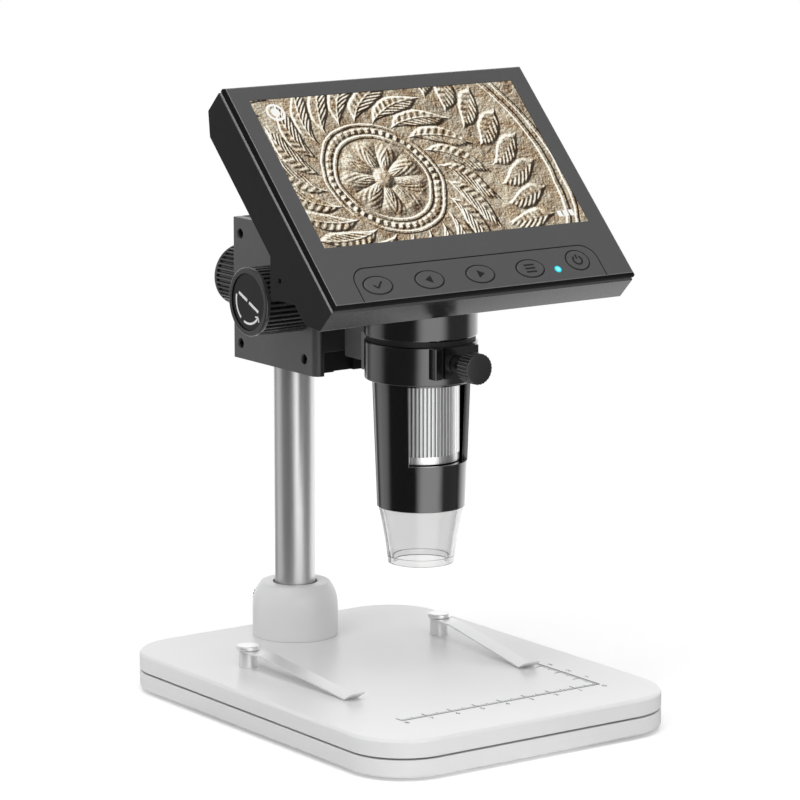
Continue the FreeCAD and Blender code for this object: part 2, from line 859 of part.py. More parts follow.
def focus_rack():
    """A straight rack of trapezoid teeth, one tooth centred on the pinion."""
    slope = math.tan(math.radians(pressure_angle))
    root_y = rack_pitch_y - gear_dedendum
    low = slide_bottom_z + rack_end_margin
    high = slide_top_z - rack_end_margin
    half = (gear_pitch / 2 - gear_backlash / 2) / 2
    outline = [(rack_seat_y, high), (rack_seat_y, low), (root_y, low)]
    first = math.ceil((low - pinion_z) / gear_pitch + 0.5)
    last = math.floor((high - pinion_z) / gear_pitch - 0.5)
    for tooth in range(first, last + 1):
        centre = pinion_z + tooth * gear_pitch
        root_half = half + gear_dedendum * slope
        tip_half = half - gear_addendum * slope
        outline += [(root_y, centre - root_half), (rack_tip_y, centre - tip_half),
                    (rack_tip_y, centre + tip_half), (root_y, centre + root_half)]
    outline.append((root_y, high))
    return side_prism(outline, -rack_half_width, rack_half_width)


def lock_knob():
    body = knob(lock_knob_radius, lock_knob_root, lock_knob_length, lock_stud_radius, 0)
    return aim(body, Vec(0, block_back_y + face_gap, lock_z), BACK)


def lock_stud():
    start = column_y + column_radius + running_gap + lock_shoe_thickness + running_gap
    end = block_back_y + face_gap + lock_knob_length - knob_recess_depth
    return rod(lock_stud_radius, Vec(0, start, lock_z), Vec(0, end, lock_z))


# Focus carriage

def arm_screw_heights():
    middle = (ring_bottom_z + ring_top_z) / 2
    return [middle - arm_screw_spread / 2, middle + arm_screw_spread / 2]


def arm_screw_head_y():
    return barrel_y + ring_bore_radius + face_gap


def support_arm():
    half = core_half_width - fit_gap
    slide = box(-half, half, slide_front_y, slide_back_y, slide_bottom_z, slide_top_z)
    tongue = half + groove_depth - fit_gap
    tongues = box(-tongue, tongue, groove_front_y + running_gap, groove_back_y - running_gap,
                  slide_bottom_z, slide_top_z)
    arm = side_prism([(slide_front_y, arm_bottom_z), (ring_rear_y, arm_bottom_z),
                      (ring_rear_y, ring_top_z), (slide_front_y, arm_gusset_z)],
                     -arm_half_width, arm_half_width)
    seat = box(-rack_half_width, rack_half_width, rack_seat_y, slide_back_y, slide_bottom_z, slide_top_z)
    holes = [rod(arm_screw_shank_radius, Vec(0, ring_rear_y, z), Vec(0, arm_screw_end_y(), z))
             for z in arm_screw_heights()]
    return join([slide, tongues, arm]).cut([seat] + holes)


def arm_screw_end_y():
    return arm_screw_head_y() + arm_screw_head_height + arm_screw_length


def arm_screws():
    screws = []
    for z in arm_screw_heights():
        start = arm_screw_head_y()
        under = start + arm_screw_head_height
        head = rod(arm_screw_head_radius, Vec(0, start, z), Vec(0, under, z))
        shank = rod(arm_screw_shank_radius, Vec(0, under, z), Vec(0, arm_screw_end_y(), z))
        screws.append(join([head, shank]))
    return screws


def clamp_ring():
    ring = upright(ring_radius, BARREL, ring_bottom_z, ring_top_z)
    ring = ring.makeFillet(ring_edge, edges_at(ring, lambda p: near(p.z, ring_bottom_z))
                           + edges_at(ring, lambda p: near(p.z, ring_top_z)))
    rear = box(-ring_rear_half_width, ring_rear_half_width, barrel_y, ring_rear_y,
               ring_bottom_z, ring_top_z)
    front = box(-ring_boss_half_width, ring_boss_half_width, ring_boss_front_y, barrel_y,
                ring_boss_bottom_z, ring_top_z)
    front = front.makeFillet(ring_edge, [e for e in front.Edges if is_upright(e)
                                         and near(e.Vertexes[0].Point.y, ring_boss_front_y)])
    cuts = [
        upright(ring_bore_radius, BARREL, ring_bottom_z, ring_top_z),
        rod(clamp_screw_radius + running_gap, Vec(0, ring_boss_front_y, clamp_screw_z),
            Vec(0, barrel_y, clamp_screw_z)),
        box(ring_groove_x - ring_groove_width / 2, ring_groove_x + ring_groove_width / 2, ring_boss_front_y,
            ring_boss_front_y + ring_groove_depth, ring_boss_bottom_z, ring_top_z),
    ]
    for z in arm_screw_heights():
        start = arm_screw_head_y()
        under = start + arm_screw_head_height
        cuts.append(rod(arm_screw_head_radius + running_gap, Vec(0, barrel_y, z), Vec(0, under, z)))
        cuts.append(rod(arm_screw_shank_radius + running_gap, Vec(0, under, z), Vec(0, ring_rear_y, z)))
    return join([ring, rear, front]).cut(cuts)


def clamp_screw():
    front = -BACK
    head = ribbed(clamp_screw_head_radius, clamp_screw_head_root, clamp_screw_ribs, clamp_screw_head_length)
    head_back_y = clamp_screw_face_y + clamp_screw_head_length
    aim(head, Vec(0, head_back_y, clamp_screw_z), front)
    neck = rod(clamp_screw_neck_radius, Vec(0, ring_boss_front_y - face_gap, clamp_screw_z),
               Vec(0, head_back_y, clamp_screw_z))
    tip_y = barrel_y - barrel_top_radius - running_gap
    shank = rod(clamp_screw_radius, Vec(0, tip_y, clamp_screw_z),
                Vec(0, ring_boss_front_y - face_gap, clamp_screw_z))
    return join([head, neck, shank])


# Barrel

def barrel_radius(z):
    if z >= barrel_straight_z:
        return barrel_top_radius
    share = (z - barrel_bottom_z) / (barrel_straight_z - barrel_bottom_z)
    return barrel_bottom_radius + share * (barrel_top_radius - barrel_bottom_radius)


def barrel_bore(z):
    return barrel_radius(z) - barrel_wall


def lens_key(width, depth_from, depth_to, z0, z1):
    """A small bar at the back of the lens tube, which stops it from turning."""
    return box(-width / 2, width / 2, barrel_y + depth_from, barrel_y + depth_to, z0, z1)


def barrel_shell():
    low_bulkhead_z = window_bottom_z - bulkhead
    high_bulkhead_z = window_top_z + bulkhead
    ledge_top_z = light_board_top_z + light_ledge
    spigot_bore = barrel_bore(barrel_bottom_z)
    outline = [
        (barrel_bottom_radius, barrel_bottom_z), (spigot_bore, barrel_bottom_z),
        (spigot_bore, light_board_top_z), (spigot_bore - light_ledge, light_board_top_z),
        (spigot_bore - light_ledge, ledge_top_z), (barrel_bore(ledge_top_z), ledge_top_z),
        (barrel_bore(low_bulkhead_z), low_bulkhead_z), (bulkhead_bore_radius, low_bulkhead_z),
        (bulkhead_bore_radius, window_bottom_z), (barrel_bore(window_bottom_z), window_bottom_z),
        (barrel_bore(window_top_z), window_top_z), (bulkhead_bore_radius, window_top_z),
        (bulkhead_bore_radius, high_bulkhead_z), (barrel_bore(high_bulkhead_z), high_bulkhead_z),
        (barrel_bore(barrel_top_z), barrel_top_z), (barrel_top_radius, barrel_top_z),
        (barrel_top_radius, barrel_straight_z),
    ]
    shell = turned(outline, BARREL)
    height = window_top_z - window_bottom_z
    sector = Part.makeCylinder(ring_radius, height, Vec(), UP, 2 * window_half_angle)
    sector = sector.cut(Part.makeCylinder(wheel_radius, height))
    sector.rotate(Vec(), UP, -90 - window_half_angle)
    sector.translate(BARREL + UP * window_bottom_z)
    key = lens_key(lens_key_width, lens_tube_radius - lens_key_depth + running_gap,
                   bulkhead_bore_radius + lens_key_depth, low_bulkhead_z, window_bottom_z)
    return join([shell.cut(sector), key])


def focus_wheel():
    low_z = window_bottom_z + face_gap
    rim_z = low_z + wheel_rim
    high_z = window_top_z - face_gap
    ribs = ribbed(wheel_radius, wheel_root, wheel_ribs, high_z - rim_z)
    ribs.translate(BARREL + UP * rim_z)
    body = join([upright(wheel_radius, BARREL, low_z, rim_z), ribs])
    return body.cut(upright(lens_tube_radius + running_gap, BARREL, low_z, high_z))


def lens_carrier():
    tube = upright(lens_tube_radius, BARREL, lens_tube_bottom_z, lens_tube_top_z)
    bore = lens_tube_radius - lens_tube_wall
    ledge_low_z = lens_front_z + lens_thickness
    ledge_high_z = lens_front_z + lens_spacing
    cuts = [
        upright(bore, BARREL, lens_tube_bottom_z, ledge_low_z),
        upright(bore - lens_ledge, BARREL, ledge_low_z, ledge_high_z),
        upright(bore, BARREL, ledge_high_z, lens_tube_top_z),
        lens_key(lens_key_width + 2 * fit_gap, lens_tube_radius - lens_key_depth,
                 lens_tube_radius + lens_key_depth, lens_tube_bottom_z, lens_tube_top_z),
    ]
    return tube.cut(cuts)


def lens(low_z):
    """A round lens with a flat edge band and two domed faces."""
    radius = lens_tube_radius - lens_tube_wall - running_gap
    high_z = low_z + lens_thickness
    sag = lens_thickness / 4
    lower = Part.Arc(Vec(-radius, 0, low_z + sag), Vec(0, 0, low_z), Vec(radius, 0, low_z + sag)).toShape()
    rim_z = high_z - sag
    upper = Part.Arc(Vec(-radius, 0, rim_z), Vec(0, 0, high_z), Vec(radius, 0, rim_z)).toShape()
    half_plane = box(0, 2 * radius, -radius, radius, low_z - radius, high_z + radius)
    left = Part.makeLine(Vec(-radius, 0, low_z + sag), Vec(-radius, 0, high_z - sag))
    right = Part.makeLine(Vec(radius, 0, low_z + sag), Vec(radius, 0, high_z - sag))
    face = Part.Face(Part.Wire(Part.__sortEdges__([lower, right, upper, left])))
    body = face.common(half_plane).Faces[0].revolve(Vec(), UP, 360)
    body.translate(BARREL)
    return body


def lens_glass():
    return [lens(lens_front_z), lens(lens_front_z + lens_spacing)]


def sensor_board():
    low_z = window_top_z + bulkhead
    board = upright(sensor_board_radius, BARREL, low_z, low_z + sensor_board_thickness)
    half = sensor_size / 2
    chip = box(-half, half, barrel_y - half, barrel_y + half, low_z - sensor_height, low_z)
    return [board, chip]


def clear_cap():
    bottom_z = barrel_bottom_z - cap_height
    middle_z = bottom_z + cap_middle_share * cap_height
    rim_z = bottom_z + cap_rim_height
    spigot = barrel_bore(barrel_bottom_z) - running_gap
    spigot_top_z = barrel_bottom_z + cap_spigot_height

    def cap_arc(inset, top_z, low_z):
        points = [(cap_top_radius, barrel_bottom_z), (cap_middle_radius, middle_z),
                  (cap_bottom_radius, bottom_z)]
        circle = Part.Arc(*[Vec(r - inset, 0, z) for r, z in points]).toShape()
        band = box(0, cap_top_radius, -cap_wall, cap_wall, low_z, top_z)
        return circle.common(band).Edges[0]

    outer = cap_arc(0, barrel_bottom_z, bottom_z)
    inner = cap_arc(cap_wall, barrel_bottom_z, rim_z)
    inner_top = max(inner.Vertexes, key=lambda v: v.Point.z).Point
    inner_low = min(inner.Vertexes, key=lambda v: v.Point.z).Point
    rim_bore = cap_bottom_radius - cap_rim_wall
    line = Part.makePolygon([
        Vec(cap_top_radius, 0, barrel_bottom_z), Vec(spigot, 0, barrel_bottom_z),
        Vec(spigot, 0, spigot_top_z),
        Vec(spigot - cap_spigot_wall, 0, spigot_top_z), Vec(spigot - cap_spigot_wall, 0, barrel_bottom_z),
        inner_top])
    rim = Part.makePolygon([inner_low, Vec(rim_bore, 0, rim_z), Vec(rim_bore, 0, bottom_z),
                            Vec(cap_bottom_radius, 0, bottom_z)])
    wire = Part.Wire(Part.__sortEdges__([outer, inner] + line.Edges + rim.Edges))
    body = Part.Face(wire).revolve(Vec(), UP, 360)
    body.translate(BARREL)
    return body


def light_board():
    outer = barrel_bore(barrel_bottom_z) - running_gap
    return pipe(outer, light_board_inner_radius, BARREL + UP * light_board_z,
                BARREL + UP * light_board_top_z)


def light_leds():
    chips = []
    half = led_size / 2
    for index in range(led_count):
        chip = box(led_circle_radius - half, led_circle_radius + half, -half, half,
                   light_board_z - led_height, light_board_z)
        chip.rotate(Vec(), UP, 360 * index / led_count)
        chip.translate(BARREL)
        chips.append(chip)
    return chips


# Head

def wedge_corner():
    """The wedge's lower back edge in the head's flat layout, as (y, z)."""
    angle = math.radians(head_tilt)
    dy = wedge_back_y - head_face_y
    dz = wedge_floor_z - head_face_z
    return (dy * math.cos(angle) + dz * math.sin(angle), dz * math.cos(angle) - dy * math.sin(angle))


def housing_outline(inset):
    """The housing's side outline as (y, z); a positive inset gives its hollow."""
    corner_y, corner_z = wedge_corner()
    diagonal = math.tan(math.radians(head_tilt / 2))
    top = housing_half_height - inset
    side = -housing_side_depth + inset * diagonal
    back = -housing_depth + inset
    back_edge = housing_half_height - housing_back_inset - inset * diagonal
    tip_z = corner_z + inset * math.sqrt(2)
    wedge_half = back - tip_z
    return [(top, -fascia_thickness), (top, side), (back_edge, back), (corner_y + wedge_half, back),
            (corner_y, tip_z), (corner_y - wedge_half, back), (-back_edge, back), (-top, side),
            (-top, -fascia_thickness)]


def housing_body(inset):
    half = housing_half_width - inset
    return side_prism(housing_outline(inset), -half, half)


def housing_screw_places():
    rows = (housing_screw_low, housing_screw_high)
    return [(side * housing_screw_x, row) for side in (-1, 1) for row in rows]


def front_edges(shape, half_x, half_y, z):
    """The outline edges of a front face at one depth."""
    def on_outline(p):
        return near(p.z, z) and (near(abs(p.x), half_x) or near(abs(p.y), half_y))
    return [e for e in edges_at(shape, on_outline)
            if near(abs(e.CenterOfMass.x), half_x) or near(abs(e.CenterOfMass.y), half_y)]


def button_layout():
    """Each button's name, centre and half sizes on the face."""
    names = ["select_button", "left_button", "right_button", "menu_button"]
    row = [(name, select_button_x + index * button_pitch, button_row, button_half_width, button_half_height)
           for index, name in enumerate(names)]
    return row + [("power_button", power_button_x, power_button_row, power_half_width, power_half_height)]


def strip_shape(inset, z0, z1):
    half = strip_half_width - inset
    low = -fascia_half_height - strip_corner * 2
    return slab(-half, half, low, strip_top - inset, z0, z1, strip_corner - inset)


def front_fascia():
    half_x, half_y = fascia_half_width, fascia_half_height
    plate = box(-half_x, half_x, -half_y, half_y, -fascia_thickness, 0)
    plate = plate.makeChamfer(fascia_bevel, front_edges(plate, half_x, half_y, 0))
    window_x = display_half_width + display_margin
    window_y = display_half_height + display_margin
    line = strip_shape(0, -strip_line_depth, 0).cut(strip_shape(strip_line, -strip_line_depth, 0))
    cuts = [
        box(-window_x, window_x, display_centre - window_y, display_centre + window_y,
            -fascia_thickness, 0),
        line,
        rod(led_window_radius + running_gap, Vec(led_window_x, led_window_row, -fascia_thickness),
            Vec(led_window_x, led_window_row, 0)),
    ]
    for name, x, row, half_width, half_height in button_layout():
        cuts.append(ellipse_prism(x, row, half_width + button_gap, half_height + button_gap,
                                  -fascia_thickness, 0))
    bosses = [rod(housing_boss_radius, Vec(x, y, -fascia_thickness - fascia_boss_length),
                  Vec(x, y, -fascia_thickness)) for x, y in housing_screw_places()]
    rests = [side * button_board_half_width for side in (-1, 1)]
    posts = [box(x - board_rest_half, x + board_rest_half, button_row - board_rest_half,
                 button_row + board_rest_half, button_board_front, -fascia_thickness) for x in rests]
    holes = [rod(housing_screw_radius, Vec(x, y, -fascia_thickness - fascia_boss_length),
                 Vec(x, y, -fascia_thickness)) for x, y in housing_screw_places()]
    return tilt(join([plate.cut(cuts)] + bosses + posts).cut(holes))


def port_window(row, width, height):
    """The hole in the right wall for a socket that stands on the main board's front."""
    high = -main_board_depth + height + fit_gap
    return box(housing_half_width - housing_wall, housing_half_width, row - width / 2 - fit_gap,
               row + width / 2 + fit_gap, -main_board_depth - fit_gap, high)


def rear_housing():
    shell = housing_body(0).cut(housing_body(housing_wall))
    rim = box(-housing_half_width, housing_half_width, -housing_half_height, housing_half_height,
              -housing_depth, -fascia_thickness)
    rim = rim.makeChamfer(housing_front_bevel,
                          front_edges(rim, housing_half_width, housing_half_height, -fascia_thickness))
    wedge_zone = box(-housing_half_width, housing_half_width, -housing_half_height, housing_half_height,
                     wedge_corner()[1] - housing_wall, -housing_depth)
    shell = shell.common(rim.fuse(wedge_zone))
    inner_back = -housing_depth + housing_wall
    boss_front = -fascia_thickness - fascia_boss_length
    bosses = [rod(housing_boss_radius, Vec(x, y, inner_back), Vec(x, y, boss_front))
              for x, y in housing_screw_places()]
    board_back = -main_board_depth - board_thickness
    posts = [rod(board_post_radius, Vec(side * board_post_x, row, inner_back),
                 Vec(side * board_post_x, row, board_back))
             for side in (-1, 1) for row in (board_post_low, board_post_high)]
    holes = []
    for x, y in housing_screw_places():
        sink = housing_screw_sink + housing_screw_head_height
        holes.append(rod(housing_screw_head_radius + fit_gap, Vec(x, y, -housing_depth),
                         Vec(x, y, -housing_depth + sink)))
        holes.append(rod(housing_screw_radius + running_gap, Vec(x, y, -housing_depth),
                         Vec(x, y, boss_front)))
    holes += [port_window(usb_row, usb_width, usb_height), port_window(card_row, card_width, card_height)]
    housing = tilt(join([shell] + bosses + posts).cut(holes))
    pinhole = rod(pinhole_radius, Vec(-housing_half_width, pinhole_y, pinhole_z),
                  Vec(-housing_half_width + housing_wall, pinhole_y, pinhole_z))
    passage = box(-cable_width, cable_width, cable_y - housing_wall, cable_y + housing_wall,
                  wedge_floor_z, wedge_floor_z + 2 * housing_wall)
    return housing.cut([pinhole, passage])


def display_panel():
    return tilt(box(-display_half_width, display_half_width, display_centre - display_half_height,
                    display_centre + display_half_height, -fascia_thickness, -display_sink))


def display_frame():
    half_x = display_half_width + display_frame_overlap
    half_y = display_half_height + display_frame_overlap
    back = -fascia_thickness - display_frame_depth
    return tilt(box(-half_x, half_x, display_centre - half_y, display_centre + half_y,
                    back, -fascia_thickness))


def button_board():
    half = button_board_half_width
    return tilt(box(-half, half, button_board_bottom, button_board_top,
                    button_board_front - board_thickness, button_board_front))


def tact_switches():
    half = switch_size / 2
    return [tilt(box(x - half, x + half, row - half, row + half, button_board_front, switch_top))
            for name, x, row, half_width, half_height in button_layout()]


def button(x, row, half_width, half_height):
    """A button cap with the flange that keeps it behind the fascia and a nub for its switch."""
    flange_front = -fascia_thickness - running_gap
    flange_back = flange_front - button_flange_thickness
    cap = ellipse_prism(x, row, half_width, half_height, flange_front, button_proud)
    flange = ellipse_prism(x, row, half_width + button_flange, half_height + button_flange,
                           flange_back, flange_front)
    nub = rod(button_nub_radius, Vec(x, row, button_back), Vec(x, row, flange_back))
    return tilt(join([cap, flange, nub]))


def status_led():
    return tilt(rod(led_window_radius, Vec(led_window_x, led_window_row, button_board_front),
                    Vec(led_window_x, led_window_row, 0)))


def main_board():
    return tilt(box(main_board_left, main_board_right, -main_board_half_height, main_board_half_height,
                    -main_board_depth - board_thickness, -main_board_depth))


def battery():
    board_back = -main_board_depth - board_thickness
    back = -housing_depth + housing_wall
    cell = box(-battery_half_width, battery_half_width, battery_low, battery_high,
               back, board_back - face_gap)
    sides = [e for e in cell.Edges if is_upright(e)]
    return tilt(cell.makeFillet(battery_round, sides))


def board_socket(row, width, height, length):
    """A socket on the main board's front, reaching to the outer face of the right wall."""
    outer = housing_half_width - fit_gap
    body = box(outer - length, outer, row - width / 2, row + width / 2, -main_board_depth,
               -main_board_depth + height)
    wall = height * socket_wall_share
    mouth = box(outer - length / 2, outer, row - width / 2 + wall, row + width / 2 - wall,
                -main_board_depth + wall, -main_board_depth + height - wall)
    return tilt(body.cut(mouth))


def housing_screws():
    screws = []
    for x, y in housing_screw_places():
        low = -housing_depth + housing_screw_sink
        head_end = low + housing_screw_head_height
        head = rod(housing_screw_head_radius, Vec(x, y, low), Vec(x, y, head_end))
        shank = rod(housing_screw_radius, Vec(x, y, head_end), Vec(x, y, -fascia_thickness))
        screws.append(tilt(join([head, shank])))
    return screws


def neck_collar():
    """The round neck under the head, cut to the head's back and its wedge."""
    body = upright(ring_radius, BARREL, neck_bottom_z, neck_top_z)
    body = body.makeFillet(neck_edge, edges_at(body, lambda p: near(p.z, neck_top_z))
                           + edges_at(body, lambda p: near(p.z, neck_bottom_z)))
    top_room = housing_half_height * 2
    outline = housing_outline(0)
    outline = [(outline[0][0], top_room)] + outline + [(outline[-1][0], top_room)]
    head = tilt(side_prism(outline, -housing_half_width, housing_half_width))
    cuts = [
        head,
        upright(barrel_top_radius + running_gap, BARREL, neck_bottom_z, barrel_top_z),
        upright(neck_cavity_radius, BARREL, barrel_top_z, neck_top_z - neck_roof),
    ]
    return body.cut(cuts)


def swivel_washer():
    outer = ring_radius - washer_inset
    return pipe(outer, ring_bore_radius, BARREL + UP * ring_top_z, BARREL + UP * neck_bottom_z)


def camera_cable():
    """The flat cable from the sensor board straight up to the back of the main board."""
    low_z = window_top_z + bulkhead + sensor_board_thickness
    half = cable_width / 2
    strip = box(-half, half, cable_y, cable_y + cable_thickness, low_z, head_face_z)
    board = box(-housing_half_width, housing_half_width, -housing_half_height, housing_half_height,
                -main_board_depth - board_thickness, housing_half_height)
    return strip.cut(tilt(board))


# Export

def save(name, pieces):
    solids = pieces if isinstance(pieces, list) else [pieces]
    shape = Part.makeCompound(solids) if len(solids) > 1 else solids[0]
    shape.translate(frame_shift)
    shape.exportStep("parts/" + name + ".step")


os.makedirs("parts", exist_ok=True)

parts = {
    "base_bottom_shell": base_bottom_shell(),
    "base_top_shell": base_top_shell(),
    "base_weight": base_weight(),
    "base_feet": base_feet(),
    "base_screws": base_screws(),
    "column_socket": column_socket(),
    "column": column(),
    "column_cap": column_cap(),
    "column_bolt": column_bolt(),
    "socket_screw": socket_screw(),
    "clip_posts": clip_posts(),
    "left_clip": clip(-1),
    "right_clip": clip(1),
    "lift_block": lift_block(),
    "left_side_plate": side_plate(-1),
    "right_side_plate": side_plate(1),
    "side_plate_screws": side_plate_screws(),
    "column_sleeve": column_sleeve(),
    "shaft_bushes": shaft_bushes(),
    "clamp_shoe": clamp_shoe(),
    "lock_knob": lock_knob(),
    "lock_stud": lock_stud(),
    "left_focus_knob": focus_knob(-1),
    "right_focus_knob": focus_knob(1),
    "knob_discs": knob_discs(),
    "pinion_shaft": pinion_shaft(),
    "focus_pinion": focus_pinion(),
    "support_arm": support_arm(),
    "focus_rack": focus_rack(),
    "clamp_ring": clamp_ring(),
    "arm_screws": arm_screws(),
    "clamp_screw": clamp_screw(),
    "barrel_shell": barrel_shell(),
    "focus_wheel": focus_wheel(),
    "lens_carrier": lens_carrier(),
    "lens_glass": lens_glass(),
    "sensor_board": sensor_board(),
    "clear_cap": clear_cap(),
    "light_board": light_board(),
    "light_leds": light_leds(),
    "neck_collar": neck_collar(),
    "swivel_washer": swivel_washer(),
    "rear_housing": rear_housing(),
    "front_fascia": front_fascia(),
    "display_panel": display_panel(),
    "display_frame": display_frame(),
    "button_board": button_board(),
    "tact_switches": tact_switches(),
    "status_led": status_led(),
    "main_board": main_board(),
    "battery": battery(),
    "usb_socket": board_socket(usb_row, usb_width, usb_height, usb_length),
    "card_socket": board_socket(card_row, card_width, card_height, card_length),
    "housing_screws": housing_screws(),
    "camera_cable": camera_cable(),
}
for name, x, row, half_width, half_height in button_layout():
    parts[name] = button(x, row, half_width, half_height)

for name, pieces in parts.items():
    save(name, pieces)
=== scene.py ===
import json
import math

import bmesh
import bpy
from bpy.props import FloatProperty, FloatVectorProperty, IntProperty, PointerProperty
from bpy.types import Operator, Panel, PropertyGroup
from mathutils import Matrix, Vector


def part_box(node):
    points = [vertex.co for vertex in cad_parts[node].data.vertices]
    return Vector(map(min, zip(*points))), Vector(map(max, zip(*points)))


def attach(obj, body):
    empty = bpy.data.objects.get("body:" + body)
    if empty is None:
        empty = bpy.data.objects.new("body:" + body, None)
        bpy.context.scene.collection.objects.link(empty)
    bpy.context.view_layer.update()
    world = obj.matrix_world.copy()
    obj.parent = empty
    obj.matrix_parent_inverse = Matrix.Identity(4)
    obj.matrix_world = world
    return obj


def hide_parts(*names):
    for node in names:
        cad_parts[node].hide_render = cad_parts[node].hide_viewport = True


bl_info = {
    "name": "Desktop digital microscope",
    "version": (1, 0, 0),
    "blender": (4, 5, 0),
    "location": "3D View > Sidebar > Microscope",
    "description": "Finishes, printed marks and lit screen of a digital microscope on a column stand",
    "category": "Object",
}

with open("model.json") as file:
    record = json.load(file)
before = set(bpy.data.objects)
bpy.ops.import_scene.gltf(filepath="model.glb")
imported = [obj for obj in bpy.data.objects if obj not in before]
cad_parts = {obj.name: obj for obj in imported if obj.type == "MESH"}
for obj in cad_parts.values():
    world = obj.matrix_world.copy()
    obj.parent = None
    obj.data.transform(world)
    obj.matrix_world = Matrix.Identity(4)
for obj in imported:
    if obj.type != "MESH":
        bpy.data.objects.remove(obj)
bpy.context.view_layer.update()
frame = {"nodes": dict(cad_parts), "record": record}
PARTS = frame["nodes"]
SLOTS = {part["node"]: part["material_slot"] for part in frame["record"]["subparts"]}
BODIES = {node: body for body, nodes in frame["record"]["behaviour"]["bodies"].items() for node in nodes}
MM = 0.001
SEAM = 7.3  # height of the seam round the base, in millimetres


def middle(node):
    low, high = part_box(node)
    return (low + high) / 2


# The head's face, with x across it, y up it and z out of it. Its middle is found from the screen's.
FACE_TILT = math.radians(45)
SCREEN_CENTRE = Vector((0, 8.4, -1.05)) * MM
FACE_TURN = Matrix.Rotation(FACE_TILT, 4, "X")
FACE_CENTRE = middle("display_panel") - FACE_TURN @ SCREEN_CENTRE
FACE = Matrix.Translation(FACE_CENTRE) @ FACE_TURN

# On the face's axes, in millimetres: half its width and height inside the polished rim, how far back the
# housing's polished bevel starts and ends, where its lower side starts and how far back that is polished.
FACE_HALF_WIDTH = 58.97
FACE_HALF_HEIGHT = 43.82
BEVEL_FRONT = -1.95
BEVEL_BACK = -2.94
LOWER_SIDE = -44.75
LOWER_SIDE_BACK = -12.05

# Each button's place up the face, and half its width and height with the gap round it, in millimetres.
WIDE_OVAL = (-38.0, 5.35, 3.5)
BUTTON_OVALS = {"select_button": WIDE_OVAL, "left_button": WIDE_OVAL, "right_button": WIDE_OVAL,
                "menu_button": WIDE_OVAL, "power_button": (-36.8, 4.45, 3.95)}

# Each knob's axis, and the radius at the root and at the tip of its ribs, in millimetres.
RIBS = {"left_focus_knob": ("x", 10.9, 11.4), "lock_knob": ("y", 10.2, 10.7), "clamp_screw": ("y", 4.72, 5.0),
        "focus_wheel": ("z", 12.32, 12.6)}


def colour_setting(name, description, default):
    return FloatVectorProperty(name=name, description=description, subtype="COLOR", size=3, min=0, max=1,
                               default=default)


def length_setting(name, description, default):
    return FloatProperty(name=name, description=description, unit="LENGTH", subtype="DISTANCE", min=0,
                         default=default * MM)


def share_setting(name, description, default):
    return FloatProperty(name=name, description=description, subtype="FACTOR", min=0, max=1, default=default)


class StandSettings(PropertyGroup):
    """Base, column and stage clips."""
    shell: colour_setting("Shell", "Colour of the white base and socket", (0.84, 0.84, 0.84))
    ink: colour_setting("Ink", "Colour of the printed ruler", (0.03, 0.03, 0.032))
    steel: colour_setting("Steel", "Colour of the polished column", (0.58, 0.58, 0.585))
    edge: length_setting("Shell edge", "Rounding of the shell's crisp edges", 0.3)
    ruler_length: length_setting("Ruler", "Length of the ruler's front leg", 80)
    ruler_side: length_setting("Ruler side", "Length of the ruler's side leg", 36)
    ink_width: length_setting("Ink width", "Width of a printed line", 0.42)
    digit_height: length_setting("Digits", "Height of the ruler's numbers", 2.9)


class LiftSettings(PropertyGroup):
    """Lifting block, knobs, arm and ring."""
    metal: colour_setting("Black metal", "Colour of the block, its plates and the arm", (0.030, 0.030, 0.031))
    knob: colour_setting("Knob", "Colour of the ribbed knobs", (0.010, 0.010, 0.0105))
    mark: colour_setting("Mark", "Colour of the marks on the knob", (0.85, 0.85, 0.85))
    edge: length_setting("Edge", "Rounding of crisp metal edges", 0.2)
    mark_radius: length_setting("Mark radius", "Radius of the curved mark on the focus knob", 7.3)


class HeadSettings(PropertyGroup):
    """Display head, its buttons and its screen."""
    fascia: colour_setting("Fascia", "Colour of the satin front face", (0.092, 0.092, 0.094))
    housing: colour_setting("Housing", "Colour of the housing", (0.0135, 0.0135, 0.0138))
    # The dark band round the face is painted shade on its side wall.
    band: colour_setting("Edge band", "Colour of the dark band round the face", (0.004, 0.004, 0.004))
    lamp: colour_setting("Status light", "Colour of the lit status light", (0.01, 0.50, 0.60))
    edge: length_setting("Edge", "Rounding of the head's crisp edges", 0.25)
    brightness: share_setting("Screen", "Brightness of the lit screen", 1.0)


class BarrelSettings(PropertyGroup):
    """Barrel, focus wheel and clear cap."""
    gloss: colour_setting("Gloss black", "Colour of the barrel, neck and ring", (0.0045, 0.0045, 0.0047))
    silver: colour_setting("Silver", "Colour of the focus wheel", (0.61, 0.61, 0.615))
    clear: colour_setting("Clear", "Tint of the clear cap", (0.79, 0.79, 0.79))
    edge: length_setting("Edge", "Rounding of the barrel's crisp edges", 0.25)


class StudioSettings(PropertyGroup):
    """Camera, floor and lamps."""
    lens: FloatProperty(name="Lens", description="Focal length in millimetres", unit="CAMERA", default=182.93)
    ambient: share_setting("Ambient", "Level of the light from all round", 0.50)
    top_lamp: FloatProperty(name="Top lamp", description="Power of the lamp above", unit="POWER", default=15.5)
    front_lamp: FloatProperty(name="Front lamp", description="Power of the lamp in front", unit="POWER",
                              default=3.0)
    left_lamp: FloatProperty(name="Left lamp", description="Power of the lamp at the left", unit="POWER",
                             default=2.5)
    floor_radius: length_setting("Floor", "Radius of the floor disc", 1500)
    floor_sides: IntProperty(name="Floor sides", description="Number of sides of the floor disc", default=96,
                              min=3)


GROUPS = {"stand": StandSettings, "lift": LiftSettings, "head": HeadSettings, "barrel": BarrelSettings,
          "studio": StudioSettings}


